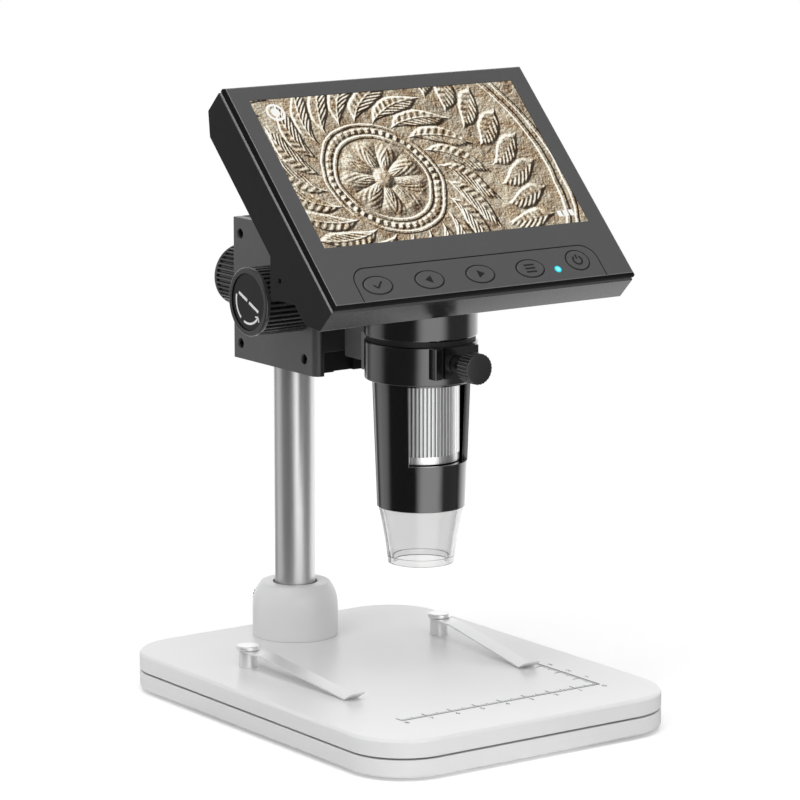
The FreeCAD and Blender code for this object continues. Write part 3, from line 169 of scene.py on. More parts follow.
class MicroscopeSettings(PropertyGroup):
    """All the sizes and colours of the microscope."""
    stand: PointerProperty(type=StandSettings, name="Stand", description="Base, column and clips")
    lift: PointerProperty(type=LiftSettings, name="Lift", description="Block, knobs, arm and ring")
    head: PointerProperty(type=HeadSettings, name="Head", description="Display head")
    barrel: PointerProperty(type=BarrelSettings, name="Barrel", description="Barrel and cap")
    studio: PointerProperty(type=StudioSettings, name="Studio", description="Camera and light")


def settings():
    return bpy.context.scene.microscope


# Node materials

class Value:
    """A socket of a node tree, on which sums add their Math nodes."""

    def __init__(self, tree, socket):
        self.tree = tree
        self.socket = socket

    def maths(self, operation, *values, clamp=False):
        node = self.tree.node("ShaderNodeMath", {"operation": operation, "use_clamp": clamp},
                              dict(enumerate(values)))
        return Value(self.tree, node.outputs[0])

    def __add__(self, other):
        return self.maths("ADD", self, other)

    def __radd__(self, other):
        return self.maths("ADD", other, self)

    def __sub__(self, other):
        return self.maths("SUBTRACT", self, other)

    def __rsub__(self, other):
        return self.maths("SUBTRACT", other, self)

    def __mul__(self, other):
        return self.maths("MULTIPLY", self, other)

    def __rmul__(self, other):
        return self.maths("MULTIPLY", other, self)

    def __truediv__(self, other):
        return self.maths("DIVIDE", self, other)

    def __rtruediv__(self, other):
        return self.maths("DIVIDE", other, self)

    def clamped(self):
        return self.maths("ADD", self, 0.0, clamp=True)

    def size(self):
        return self.maths("ABSOLUTE", self)

    def sine(self):
        return self.maths("SINE", self)

    def most(self, other):
        return self.maths("MAXIMUM", self, other)

    def step(self, low, high):
        """0 below low, 1 above high; turned round where low is the larger."""
        node = self.tree.node("ShaderNodeMapRange", {"interpolation_type": "SMOOTHSTEP"},
                              {0: self, 1: low, 2: high, 3: 0.0, 4: 1.0})
        return Value(self.tree, node.outputs[0])

    def near(self, centre, outer, inner):
        """1 within inner of the centre, 0 farther than outer from it."""
        return (self - centre).size().step(outer, inner)


def distance(x, y):
    """Length of the way x along one axis and y along another."""
    squared = x * x + y * y
    return squared.maths("SQRT", squared)


class Tree:
    """A node tree that takes numbers, colours and Values alike."""

    def __init__(self, owner):
        owner.use_nodes = True
        self.owner = owner
        self.nodes = owner.node_tree.nodes
        self.links = owner.node_tree.links

    def put(self, socket, value):
        if isinstance(value, Value):
            self.links.new(value.socket, socket)
        elif isinstance(value, (int, float)):
            socket.default_value = value
        else:
            numbers = list(value)
            socket.default_value = numbers + [1.0] if socket.type == "RGBA" and len(numbers) == 3 else numbers

    def node(self, kind, choices=None, inputs=None):
        node = self.nodes.new(kind)
        for label, choice in (choices or {}).items():
            if label == "stops":
                self.set_stops(node.color_ramp, choice)
            else:
                setattr(node, label, choice)
        for label, value in (inputs or {}).items():
            self.put(node.inputs[label], value)
        return node

    @staticmethod
    def set_stops(ramp, stops):
        first, *between, last = stops
        for element, (position, colour) in ((ramp.elements[0], first), (ramp.elements[1], last)):
            element.position = position
            element.color = list(colour) + [1.0]
        for position, colour in between:
            ramp.elements.new(position).color = list(colour) + [1.0]

    def out(self, kind, choices=None, inputs=None, output=0):
        return Value(self, self.node(kind, choices, inputs).outputs[output])

    def blend(self, mask, first, second):
        """One colour where the mask is 0 and the other where it is 1."""
        return self.out("ShaderNodeMix", {"data_type": "RGBA"}, {0: mask, 6: first, 7: second}, 2)

    def vector(self, operation, *values, output=0):
        return self.out("ShaderNodeVectorMath", {"operation": operation}, dict(enumerate(values)), output)

    def axes(self, vector):
        split = self.node("ShaderNodeSeparateXYZ", None, {0: vector})
        return [Value(self, socket) for socket in split.outputs]

    def noise(self, place, size, detail=2.0, rough=0.5):
        return self.out("ShaderNodeTexNoise", None, {"Vector": place, "Scale": 1 / size, "Detail": detail,
                                                     "Roughness": rough})

    def turned(self, place, location=(0, 0, 0), rotation=(0, 0, 0), scale=(1, 1, 1)):
        """The place as read on axes that start at location, turned and scaled."""
        return self.out("ShaderNodeMapping", {"vector_type": "TEXTURE"},
                        {"Vector": place, "Location": location, "Rotation": rotation, "Scale": scale})


class Finish(Tree):
    """A principled material. Its place is in millimetres on the part's own axes."""

    def __init__(self, name, constants=None, location=(0, 0, 0), rotation=(0, 0, 0)):
        super().__init__(bpy.data.materials.new(name))
        self.material = self.owner
        self.shader = self.nodes["Principled BSDF"]
        for label, value in (constants or {}).items():
            self.put(self.shader.inputs[label], value)
        coordinates = self.node("ShaderNodeTexCoord")
        self.place = self.turned(Value(self, coordinates.outputs["Object"]), location, rotation, (MM, MM, MM))

    def set(self, label, value):
        self.put(self.shader.inputs[label], value)

    def own_axes(self):
        return self.axes(self.place)

    def grain(self, size, detail=2.0, rough=0.5):
        """Noise on the finish's own place."""
        return self.noise(self.place, size, detail, rough)

    def tint(self, mask, colour, low, high):
        """Base colour: a low share of one colour where the mask is 0 and a high share where it is 1."""
        self.set("Base Color", self.blend(mask, shade(colour, low), shade(colour, high)))

    def rough(self, value):
        self.set("Roughness", value.clamped())

    def lay(self, mask, colour):
        """Lays a colour over the base colour where the mask is 1."""
        under = Value(self, self.shader.inputs["Base Color"].links[0].from_socket)
        self.set("Base Color", self.blend(mask, under, colour))

    def bump(self, height, strength, distance):
        node = self.node("ShaderNodeBump", None, {"Strength": strength, "Distance": distance * MM,
                                                  "Height": height})
        self.set("Normal", Value(self, node.outputs[0]))


def shine(level):
    """Constants of a finish that mirrors this much."""
    return {"Specular IOR Level": level}


def shade(colour, share):
    return [min(1.0, part * share) for part in colour]


def plastic(name, colour, roughness, grain=0.35, relief=0.06, mottle=0.08, constants=None):
    """Moulded plastic with a fine spark-eroded grain and a faint cloudiness."""
    finish = Finish(name, constants)
    fine = finish.grain(grain, 3.0)
    cloud = finish.grain(22.0, 2.0)
    scuff = finish.grain(4.0, 4.0, 0.65)
    tone = (cloud * 0.6 + fine * 0.4).clamped()
    finish.tint(tone, colour, 1 - mottle, 1 + mottle)
    finish.rough(roughness + (fine - 0.5) * 0.10 + (scuff - 0.5) * 0.12)
    finish.bump(fine, relief, grain)
    return finish


def shell_white(name, colour):
    """White moulded shell, grey with shadow along the seam between its halves."""
    finish = plastic(name, colour, 0.36, 0.5, 0.03, 0.012, shine(0.4))
    line = finish.own_axes()[2].near(SEAM, 0.34, 0.22)
    finish.lay(line * 0.8, shade(colour, 0.1))
    return finish


def rib_height(finish, node):
    """0 in the grooves between a knob's ribs and 1 on their tips."""
    along, root, tip = RIBS[node]
    sides = [axis - place / MM for axis, place, letter in zip(finish.own_axes(), middle(node), "xyz")
             if letter != along]
    return distance(*sides).step(root, tip)


def ribbed_black(name, colour, node):
    """Moulded ribs with a painted highlight on their tips and painted shade in their grooves."""
    finish = plastic(name, colour, 0.26, 0.3, 0.05, 0.15, shine(0.6))
    # Painted highlight on the rib tips and painted shade in the grooves.
    finish.tint(rib_height(finish, node), colour, 0.1, 4.5)
    return finish


def part_blackened(name, colour, light, dark):
    """Satin metal with painted shade: it turns black between two depths behind the plates' front edge."""
    finish = plastic(name, colour, 0.42, 0.22, 0.10, 0.10, shine(0.7))
    depth = finish.own_axes()[1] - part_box("left_side_plate")[0].y / MM
    # Painted shade: the colour turns black between the two depths.
    finish.lay(depth.step(light, dark), shade(colour, 0.15))
    return finish


def turned_black(name, colour, node):
    """Black metal faced on a lathe: fine rings round its own axis, which lies across."""
    finish = Finish(name, shine(0.22), middle(node))
    across, back, up = finish.own_axes()
    waver = finish.noise(finish.turned(finish.place, scale=(40, 40, 40)), 1.0, 1.0)
    rings = waver * 6.0 + distance(back, up) * 16.0
    cloud = finish.grain(2.0, 3.0)
    finish.tint(cloud, colour, 0.8, 1.2)
    finish.rough(0.30 + (cloud - 0.5) * 0.1)
    finish.bump(rings.sine(), 0.12, 0.05)
    return finish


def ribbed_silver(name, colour, node):
    """Plated ribs, bright on their tips, with painted shade greying their grooves."""
    finish = metal(name, colour, 0.30, (0.4, 0.4, 20.0), 0.05, 0.04)
    # Painted shade in the grooves between the ribs.
    finish.lay(1 - rib_height(finish, node), shade(colour, 0.45))
    return finish


def lit_lens(name, colour, node):
    """A lit lens, palest in its middle."""
    finish = Finish(name, {"Roughness": 0.25, "Emission Strength": 1.0}, middle(node), (FACE_TILT, 0, 0))
    across, up, out = finish.own_axes()
    grain = finish.grain(0.4, 2.0)
    glow = finish.blend(distance(across, up).step(1.25, 0.3), colour, (0.30, 0.83, 0.88))
    finish.tint(grain, colour, 0.5, 0.6)
    finish.set("Emission Color", glow)
    return finish


def metal(name, colour, roughness, stretch, mottle=0.10, line=0.12, constants=None):
    """Metal with fine lines along one way; stretch is the grain's size along X, Y and Z in millimetres."""
    finish = Finish(name, {"Metallic": 1.0, **(constants or {})})
    lines = finish.noise(finish.turned(finish.place, scale=stretch), 1.0, 3.0, 0.6)
    cloud = finish.grain(9.0, 2.0)
    tone = (lines * 0.7 + cloud * 0.3).clamped()
    finish.tint(tone, colour, 1 - mottle, 1 + mottle)
    finish.rough(roughness + (lines - 0.5) * 0.22)
    finish.bump(lines, line, 0.05)
    return finish


def glossy(name, colour, roughness, constants=None):
    """Polished black plastic with the faint waviness of a moulded surface and a few dust specks."""
    finish = Finish(name, {"Specular IOR Level": 0.9, "Coat Weight": 0.6, "Coat Roughness": 0.06,
                           **(constants or {})})
    wave = finish.grain(7.0, 1.0)
    speck = finish.grain(0.5, 4.0, 0.7)
    dust = speck.step(0.66, 0.74)
    finish.tint(dust, colour, 1, 1.6)
    finish.rough(roughness + dust * 0.15 + (wave - 0.5) * 0.05)
    finish.bump(wave, 0.05, 0.4)
    return finish


def face_grey(name, colour, band):
    """The satin face; past its thin polished rim, which also has a painted highlight, it turns to a dull black
    band of painted shade. Painted shade also darkens its grooves and the gaps round the buttons.
    """
    finish = Finish(name, {"Specular IOR Level": 0.12, "Coat Roughness": 0.12}, FACE_CENTRE,
                    (FACE_TILT, 0, 0))
    across, up, out = finish.own_axes()
    button_gap_shade = None
    for node, (row, half_width, half_height) in BUTTON_OVALS.items():
        x = (across - (middle(node) - FACE_CENTRE).x / MM) / half_width
        ring = distance(x, (up - row) / half_height).near(1, 0.085, 0.05)
        button_gap_shade = button_gap_shade.most(ring) if button_gap_shade else ring
    overhang = (across.size() - FACE_HALF_WIDTH).most(up.size() - FACE_HALF_HEIGHT)
    rim = overhang.size().step(0.16, 0.06)
    edge = overhang.step(0.02, 0.12) * out.step(-0.02, -0.10)
    fine = finish.grain(0.3, 3.0)
    cloud = finish.grain(30.0, 2.0)
    finish.tint((cloud * 0.7 + fine * 0.3).clamped(), colour, 0.93, 1.07)
    groove = out.step(-0.05, -0.2) * (1 - edge)
    # Painted shade in the grooves and in the gaps round the buttons.
    finish.lay((groove * 0.9).most(button_gap_shade * 0.85), shade(colour, 0.08))
    # Painted shade: a near-black band on the side past the rim.
    finish.lay(edge, band)
    # Painted highlight: the rim's colour made lighter.
    finish.lay(rim, shade(colour, 1.9))
    finish.rough(0.42 + (fine - 0.5) * 0.12 + edge * 0.3)
    finish.set("Coat Weight", rim)
    finish.bump(fine, 0.04, 0.3)
    return finish


def housing_black(name, colour):
    """Dull moulded black, polished on its front bevel and on its lower side; the front bevel also has a painted
    highlight, its colour made six times lighter.
    """
    finish = Finish(name, {"Specular IOR Level": 0.12, "Coat Roughness": 0.16}, FACE_CENTRE,
                    (FACE_TILT, 0, 0))
    across, up, out = finish.own_axes()
    fine = finish.grain(0.28, 3.0)
    cloud = finish.grain(22.0, 2.0)
    scuff = finish.grain(4.0, 4.0, 0.65)
    bevel = out.step(BEVEL_BACK - 0.04, BEVEL_BACK + 0.04) * out.step(BEVEL_FRONT + 0.05, BEVEL_FRONT - 0.05)
    below = (up.step(LOWER_SIDE + 0.05, LOWER_SIDE - 0.05)
             * out.step(LOWER_SIDE_BACK - 0.15, LOWER_SIDE_BACK + 0.15))
    polish = bevel.most(below)
    tone = (cloud * 0.6 + fine * 0.4).clamped()
    finish.tint(tone, colour, 0.88, 1.12)
    # Painted highlight: the front bevel's colour made lighter.
    finish.lay(bevel, shade(colour, 6.0))
    dull = 0.50 + (fine - 0.5) * 0.10 + (scuff - 0.5) * 0.12 * (1 - polish)
    finish.rough(dull - polish * 0.22)
    finish.set("Coat Weight", polish)
    finish.bump(fine, 0.07, 0.28)
    return finish


def polar(across, up, centre):
    """Distance from a centre on the face, and the angle round it."""
    x = across - centre[0]
    y = up - centre[1]
    return distance(x, y), y.maths("ARCTAN2", y, x)


def saw(turn):
    """Distance from the middle of each whole step: 0 in the middle and 1 between two steps."""
    return ((turn - turn.maths("FLOOR", turn)) - 0.5).size() * 2.0


def spokes(angle, count):
    """The angle counted in so many steps for the full turn."""
    return angle * (count / math.tau)


def relief(finish, place):
    """Height of a struck-metal pattern: a rosette in beaded rings, with slanting leaves round it."""
    across, up, out = finish.axes(place)
    wander = finish.noise(place, 14.0, 1.0)
    reach, angle = polar(across + (wander - 0.5) * 2.5, up, (-17.0, 3.0))
    petal_turn = saw(spokes(angle, 9))
    petal = (1 - petal_turn * petal_turn) * reach.near(9.5, 6.6, 3.2)
    petal_rib = ((reach * 0.5 + petal_turn * 4.5) * 3.2).sine() * petal * 0.16
    boss = reach.step(4.4, 2.6) + reach.step(3.0, 1.5) * 0.4
    inner_ring = reach.near(17.2, 0.9, 0.3) * 0.75
    beads = (1 - saw(spokes(angle, 46))) * reach.near(19.6, 1.3, 0.5) * 0.9
    outer_ring = reach.near(22.0, 0.8, 0.3) * 0.7
    leaf_turn = saw(spokes(angle, 22) + reach * 0.085)
    leaf = (reach.near(33.0, 11.0, 2.0) - leaf_turn).step(-0.02, 0.30) * 0.95
    vein = (((reach * 0.9) - leaf_turn * 3.4) * 3.4).sine() * leaf * 0.20
    spine = leaf_turn.step(0.16, 0.02) * leaf * 0.34
    sprig_turn = saw(spokes(angle, 34) - reach * 0.06)
    sprig = (reach.near(53.0, 10.0, 1.5) - sprig_turn).step(0.0, 0.34) * 0.9
    sprig_vein = ((reach + sprig_turn * 3.0) * 3.0).sine() * sprig * 0.20
    rim = reach.near(66.5, 1.2, 0.4) + reach.near(70.0, 1.0, 0.3) * 0.8
    hump = finish.noise(place, 7.0, 3.0)
    grit = finish.noise(place, 0.9, 4.0, 0.75)
    pits = finish.noise(place, 2.2, 3.0, 0.7)
    flower = petal * 1.1 + petal_rib + boss + inner_ring + beads + outer_ring
    foliage = leaf + vein + spine + sprig + sprig_vein + rim
    return flower + foliage + hump * 1.3 + grit * 0.62 + pits * 0.8


def lit_screen(name, brightness):
    """The lit picture: a close view of a struck metal surface, with two plain corner signs."""
    finish = Finish(name, {"Roughness": 0.16, "Specular IOR Level": 0.3, "Base Color": (0.005, 0.005, 0.005),
                           "Emission Strength": brightness}, FACE_CENTRE, (FACE_TILT, 0, 0))
    here = relief(finish, finish.place)
    there = relief(finish, finish.turned(finish.place, location=(-0.30, 0.30, 0.0)))
    cloud = finish.grain(18.0, 3.0)
    tarnish = finish.grain(6.0, 4.0, 0.65)
    level = ((there - here) * 1.85 + 0.455 + (cloud - 0.5) * 0.46).clamped()
    worn = finish.out("ShaderNodeValToRGB", {"stops": [
        (0.0, (0.018, 0.010, 0.005)), (0.22, (0.10, 0.055, 0.028)), (0.42, (0.30, 0.20, 0.115)),
        (0.62, (0.52, 0.41, 0.27)), (0.82, (0.84, 0.76, 0.58)), (1.0, (1.0, 0.98, 0.90))]}, {0: level})
    bright = finish.out("ShaderNodeValToRGB", {"stops": [
        (0.0, (0.05, 0.040, 0.028)), (0.22, (0.19, 0.155, 0.11)), (0.42, (0.40, 0.345, 0.26)),
        (0.62, (0.63, 0.56, 0.43)), (0.82, (0.90, 0.84, 0.70)), (1.0, (1.0, 1.0, 0.94))]}, {0: level})
    picture = finish.blend(tarnish.step(0.36, 0.62), worn, bright)
    across, up, out = finish.own_axes()
    badge, turn = polar(across, up, (-45.0, 33.0))
    disc = badge.step(3.6, 3.4) * (1 - badge.near(2.1, 0.55, 0.35))
    bars = across.near(45.5, 3.6, 3.4) * up.near(-17.6, 1.3, 1.1) * (1 - (across * 2.6).sine().step(0.55, 0.75))
    picture = finish.blend(disc.most(bars), picture, (0.92, 0.92, 0.90))
    finish.set("Emission Color", picture)
    return finish


def clear(name, tint, roughness, ior, rim):
    """Clear moulded plastic with faint flow lines, greyer by its rim share where it is seen edge on."""
    finish = Finish(name, {"Transmission Weight": 1.0, "IOR": ior})
    flow = finish.grain(5.0, 2.0)
    facing = finish.out("ShaderNodeLayerWeight", None, {"Blend": 0.5}, 1)
    finish.tint(flow, tint, 0.985, 1)
    finish.lay(facing.step(0.35, 0.95), shade(tint, rim))
    finish.rough(roughness + flow * 0.02)
    return finish


def circuit(name, colour):
    """A green board with copper tracks under its lacquer."""
    finish = Finish(name, shine(0.5))
    across, up, out = finish.own_axes()
    wander = finish.grain(6.0, 1.0)
    tracks = (up * 4.2 + wander * 9.0).sine().step(0.72, 0.9)
    pads = finish.grain(1.6, 1.0).step(0.68, 0.72)
    finish.tint(tracks, colour, 1, 1.7)
    finish.lay(pads, (0.62, 0.55, 0.34))
    finish.set("Roughness", 0.30 + pads * 0.15)
    finish.bump(tracks, 0.1, 0.05)
    return finish


def glowing(name, colour, strength):
    """A small lamp's lit lens."""
    finish = Finish(name, {"Roughness": 0.2, "Emission Strength": strength})
    grain = finish.grain(0.4, 2.0)
    finish.tint(grain, colour, 0.9, 1)
    finish.set("Emission Color", finish.blend(grain, colour, shade(colour, 1.15)))
    return finish


def ink(name, colour):
    """Screen-printed ink with a little speckle."""
    finish = Finish(name, shine(0.3))
    speck = finish.grain(0.15, 3.0)
    finish.tint(speck, colour, 0.85, 1.15)
    finish.set("Roughness", 0.45 + speck * 0.2)
    return finish


def finish_table():
    """For each slot or finish: what makes it, and the values it takes after its name."""
    stand, lift, head, barrel = settings().stand, settings().lift, settings().head, settings().barrel
    return {
        "white_shell": (shell_white, stand.shell),
        "ballast_steel": (metal, (0.32, 0.32, 0.34), 0.5, (0.4, 12.0, 0.4)),
        "foot_rubber": (plastic, (0.025, 0.025, 0.026), 0.75, 0.25, 0.25, 0.2),
        "screw_steel": (metal, (0.62, 0.62, 0.64), 0.28, (0.3, 0.3, 0.3)),
        "column_steel": (metal, stand.steel, 0.34, (0.25, 0.25, 60.0), 0.04, 0.05, {"Metallic": 0.8}),
        "clip_steel": (metal, (0.86, 0.86, 0.865), 0.34, (0.2, 9.0, 0.2), 0.03, 0.04, {"Metallic": 0.6}),
        "black_metal": (plastic, lift.metal, 0.42, 0.22, 0.10, 0.10, shine(0.7)),
        "black_knob": (plastic, lift.knob, 0.26, 0.3, 0.05, 0.15, shine(0.6)),
        "black_screw": (metal, (0.010, 0.010, 0.011), 0.45, (0.3, 0.3, 0.3), 0.2),
        # Painted light: the plates and the arm take lit copies of the black metal, 2.2 and 3.4 times lighter, and
        # the block core a shaded copy, a fifth as light.
        "plate_metal": (part_blackened, shade(lift.metal, 2.2), 0.9, 0.35),
        "block_core": (plastic, shade(lift.metal, 0.2), 0.6, 0.22, 0.10, 0.10, shine(0.2)),
        "arm_metal": (part_blackened, shade(lift.metal, 3.4), 0.1, 0.3),
        "focus_ribs": (ribbed_black, lift.knob, "left_focus_knob"),
        "lock_ribs": (ribbed_black, lift.knob, "lock_knob"),
        "clamp_ribs": (ribbed_black, lift.knob, "clamp_screw"),
        "satin_black": (glossy, shade(barrel.gloss, 1.6), 0.17, {"Coat Weight": 0.3, "Coat Roughness": 0.18}),
        "knob_face": (turned_black, shade(lift.knob, 0.35), "knob_discs"),
        "screw_face": (plastic, shade(lift.knob, 1.6), 0.36, 0.2, 0.04, 0.12),
        "washer_black": (plastic, (0.003, 0.003, 0.003), 0.7, 0.3, 0.1, 0.2),
        "sleeve_plastic": (plastic, (0.62, 0.62, 0.58), 0.5, 0.4, 0.05, 0.04),
        "brass": (metal, (0.72, 0.52, 0.22), 0.3, (0.3, 0.3, 3.0)),
        "shaft_steel": (metal, (0.55, 0.55, 0.57), 0.22, (6.0, 0.2, 0.2)),
        "gloss_black": (glossy, barrel.gloss, 0.11),
        "housing_black": (housing_black, head.housing),
        "fascia_grey": (face_grey, head.fascia, head.band),
        "button_grey": (plastic, shade(head.fascia, 0.9), 0.38, 0.3, 0.05, 0.05),
        "display": (lit_screen, head.brightness),
        "display_back": (metal, (0.6, 0.6, 0.62), 0.4, (14.0, 0.3, 0.3)),
        "board_green": (circuit, (0.02, 0.13, 0.055)),
        "chip_black": (plastic, (0.02, 0.02, 0.021), 0.5, 0.2, 0.1, 0.15),
        "cell_foil": (metal, (0.55, 0.55, 0.57), 0.45, (3.0, 3.0, 3.0), 0.08, 0.2),
        "port_steel": (metal, (0.58, 0.58, 0.6), 0.3, (5.0, 0.2, 0.2)),
        "light_lens": (lit_lens, head.lamp, "status_led"),
        "white_led": (glowing, (0.93, 0.86, 0.62), 0.5),
        "clear_plastic": (clear, barrel.clear, 0.02, 1.46, 0.5),
        "lens_glass": (clear, (0.92, 0.95, 0.97), 0.0, 1.5, 1.0),
        "silver_wheel": (ribbed_silver, barrel.silver, "focus_wheel"),
        "cable_film": (plastic, (0.45, 0.22, 0.05), 0.35, 0.6, 0.05, 0.1),
    }


def finish_of(slot):
    """The material of a slot or finish, made once."""
    name = slot + "_finish"
    made = bpy.data.materials.get(name)
    if made:
        return made
    make, *values = finish_table()[slot]
    return make(name, *values).material


# Mesh helpers

def is_crisp(edge, degrees):
    return len(edge.link_faces) == 2 and edge.calc_face_angle(0.0) > math.radians(degrees)


def round_edges(bm, edges, offset, segments, held=False):
    """Rounds edges; held keeps them from running over each other."""
    bmesh.ops.bevel(bm, geom=edges, offset=offset, offset_type="OFFSET", affect="EDGES", segments=segments,
                    profile=0.5, material=-1, clamp_overlap=held)


def add_object(name, data):
    """A new object in the scene."""
    made = bpy.data.objects.new(name, data)
    bpy.context.scene.collection.objects.link(made)
    return made


def make_piece(bm, name, body, material, crease=34):
    """Turns a bmesh into a piece that rides on a body, smooth but for its creases."""
    for face in bm.faces:
        face.smooth = True
    for edge in bm.edges:
        edge.smooth = not is_crisp(edge, crease)
    mesh = bpy.data.meshes.new(name)
    bm.to_mesh(mesh)
    bm.free()
    mesh.materials.append(material)
    piece = add_object(name, mesh)
    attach(piece, body)
    return piece


def dress(*nodes, finish=None):
    """Gives CAD parts the material of their slot, or another."""
    for node in nodes:
        mesh = PARTS[node].data
        mesh.materials.clear()
        mesh.materials.append(finish_of(finish or SLOTS[node]))


def soften(node, edge, crease=32, segments=2, held=False, finish=None):
    """A copy of a CAD part with its crisp edges rounded, which stands for the part."""
    bm = bmesh.new()
    bm.from_mesh(PARTS[node].data)
    bmesh.ops.remove_doubles(bm, verts=bm.verts[:], dist=1e-6)
    bmesh.ops.dissolve_limit(bm, angle_limit=math.radians(0.4), verts=bm.verts[:], edges=bm.edges[:])
    round_edges(bm, [e for e in bm.edges if is_crisp(e, crease)], edge, segments, held)
    bmesh.ops.triangulate(bm, faces=[f for f in bm.faces if len(f.verts) > 4])
    piece = make_piece(bm, node + "_skin", BODIES[node], finish_of(finish or SLOTS[node]))
    weigh = piece.modifiers.new("even_normals", "WEIGHTED_NORMAL")
    weigh.keep_sharp = True
    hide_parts(node)
    return piece


def stroke(bm, start, end, width, thickness, place=Matrix()):
    """A flat bar from start to end on the plane of a place, standing proud by its thickness."""
    start, end = Vector((*start, 0)), Vector((*end, 0))
    along = end - start
    turn = Matrix.Rotation(math.atan2(along.y, along.x), 4, "Z")
    size = Matrix.Diagonal((along.length, width, thickness, 1))
    bmesh.ops.create_cube(bm, size=1, matrix=place @ Matrix.Translation((start + end) / 2) @ turn @ size)


def arc_stroke(bm, radius, first, last, width, thickness, place, steps=18):
    """A flat curved bar between two angles in degrees."""
    before = set(bm.verts)
    start = Matrix.Rotation(math.radians(first), 4, "Z") @ Matrix.Translation((radius, 0, 0))
    made = bmesh.ops.create_grid(bm, x_segments=1, y_segments=1, size=0.5,
                                 matrix=start @ Matrix.Rotation(math.radians(90), 4, "X")
                                 @ Matrix.Diagonal((width, thickness, 1, 1)))
    end = made["verts"][0].link_faces[0]
    bmesh.ops.spin(bm, geom=[end, *end.edges, *end.verts], cent=(0, 0, 0), axis=(0, 0, 1),
                   angle=math.radians(last - first), steps=steps)
    bmesh.ops.transform(bm, matrix=place, verts=[v for v in bm.verts if v not in before])


def printed(bm, name, body, material):
    """Turns flat strokes into a printed piece."""
    bmesh.ops.recalc_face_normals(bm, faces=bm.faces[:])
    return make_piece(bm, name, body, material)


def digits(numbers, height, thickness, base):
    """Flat numbers as one bmesh; each of them comes with its x and y on the base's plane."""
    bm = bmesh.new()
    for number, x, y in numbers:
        curve = bpy.data.curves.new("digit", "FONT")
        curve.body = str(number)
        curve.size = height
        curve.extrude = thickness / 2
        curve.align_x = "CENTER"
        curve.align_y = "CENTER"
        holder = add_object("digit", curve)
        bpy.context.view_layer.update()
        mesh = bpy.data.meshes.new_from_object(holder)
        mesh.transform(base @ Matrix.Translation((x, y, 0)))
        bm.from_mesh(mesh)
        bpy.data.objects.remove(holder)
        bpy.data.curves.remove(curve)
        bpy.data.meshes.remove(mesh)
    return bm


# Pieces

class MICROSCOPE_OT_base(Operator):
    """Finish the white base shells, their feet, weight and screws"""
    bl_idname = "microscope.base"
    bl_label = "Base"

    def execute(self, context):
        edge = settings().stand.edge
        soften("base_top_shell", edge)
        soften("base_bottom_shell", edge)
        dress("base_weight", "base_feet", "base_screws", "column_bolt")
        return {"FINISHED"}


class MICROSCOPE_OT_ruler(Operator):
    """Print the ruler's two legs and its numbers on the base"""
    bl_idname = "microscope.ruler"
    bl_label = "Ruler"

    corner = Vector((42.1, -63.65, 0)) * MM
    tick_long = 3.4 * MM
    tick_middle = 2.2 * MM
    tick_short = 1.5 * MM
    label_gap = 2.6 * MM
    ink_height = 0.03 * MM
    fine = 0.6  # width of a short tick, as a share of the ink's width

    def tick(self, number):
        if number % 10 == 0:
            return self.tick_long
        return self.tick_middle if number % 5 == 0 else self.tick_short

    def execute(self, context):
        stand = settings().stand
        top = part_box("base_top_shell")[1].z + self.ink_height / 2
        plane = Matrix.Translation((self.corner.x, self.corner.y, top))
        bm = bmesh.new()
        for length, first, along, inward in ((stand.ruler_length, 0, (-1, 0), (0, 1)),
                                             (stand.ruler_side, 1, (0, 1), (-1, 0))):
            stroke(bm, (0, 0), Vector(along) * length, stand.ink_width, self.ink_height, plane)
            for number in range(first, round(length / MM) + 1):
                width = stand.ink_width * (1 if number % 10 == 0 else self.fine)
                start = Vector(along) * number * MM
                stroke(bm, start, start + Vector(inward) * self.tick(number), width, self.ink_height, plane)
        material = ink("ruler_ink", stand.ink).material
        printed(bm, "ruler_print", "stand", material)
        numbers = [(number, -number * 10 * MM, -self.label_gap) for number in range(9)]
        numbers += [(number, self.label_gap, number * 10 * MM) for number in range(1, 4)]
        printed(digits(numbers, stand.digit_height, self.ink_height, plane), "ruler_numbers", "stand", material)
        return {"FINISHED"}


class MICROSCOPE_OT_column(Operator):
    """Finish the steel column, its socket, end cap and set screw"""
    bl_idname = "microscope.column"
    bl_label = "Column"

    def execute(self, context):
        soften("column_socket", settings().stand.edge)
        soften("column", settings().lift.edge)
        soften("socket_screw", settings().lift.edge / 2, finish="black_screw")
        dress("column_cap")
        return {"FINISHED"}


class MICROSCOPE_OT_clips(Operator):
    """Finish the two spring clips and their posts"""
    bl_idname = "microscope.clips"
    bl_label = "Stage clips"
    edge = 0.12 * MM

    def execute(self, context):
        for node in ("left_clip", "right_clip", "clip_posts"):
            soften(node, self.edge)
        return {"FINISHED"}


class MICROSCOPE_OT_block(Operator):
    """Finish the lifting block, its plates, screws and linings"""
    bl_idname = "microscope.block"
    bl_label = "Lifting block"

    def execute(self, context):
        edge = settings().lift.edge
        soften("left_side_plate", edge, finish="plate_metal")
        soften("right_side_plate", edge, finish="plate_metal")
        soften("lift_block", edge, finish="block_core")
        dress("side_plate_screws", "column_sleeve", "shaft_bushes", "clamp_shoe")
        return {"FINISHED"}


class MICROSCOPE_OT_knobs(Operator):
    """Finish the ribbed knobs and the focus drive"""
    bl_idname = "microscope.knobs"
    bl_label = "Knobs"

    def execute(self, context):
        edge = settings().lift.edge / 2
        for node, finish in (("left_focus_knob", "focus_ribs"), ("right_focus_knob", "focus_ribs"),
                             ("lock_knob", "lock_ribs"), ("clamp_screw", "clamp_ribs")):
            soften(node, edge, finish=finish)
        soften("knob_discs", edge, finish="knob_face")
        dress("pinion_shaft", "focus_pinion", "lock_stud", "focus_rack")
        return {"FINISHED"}


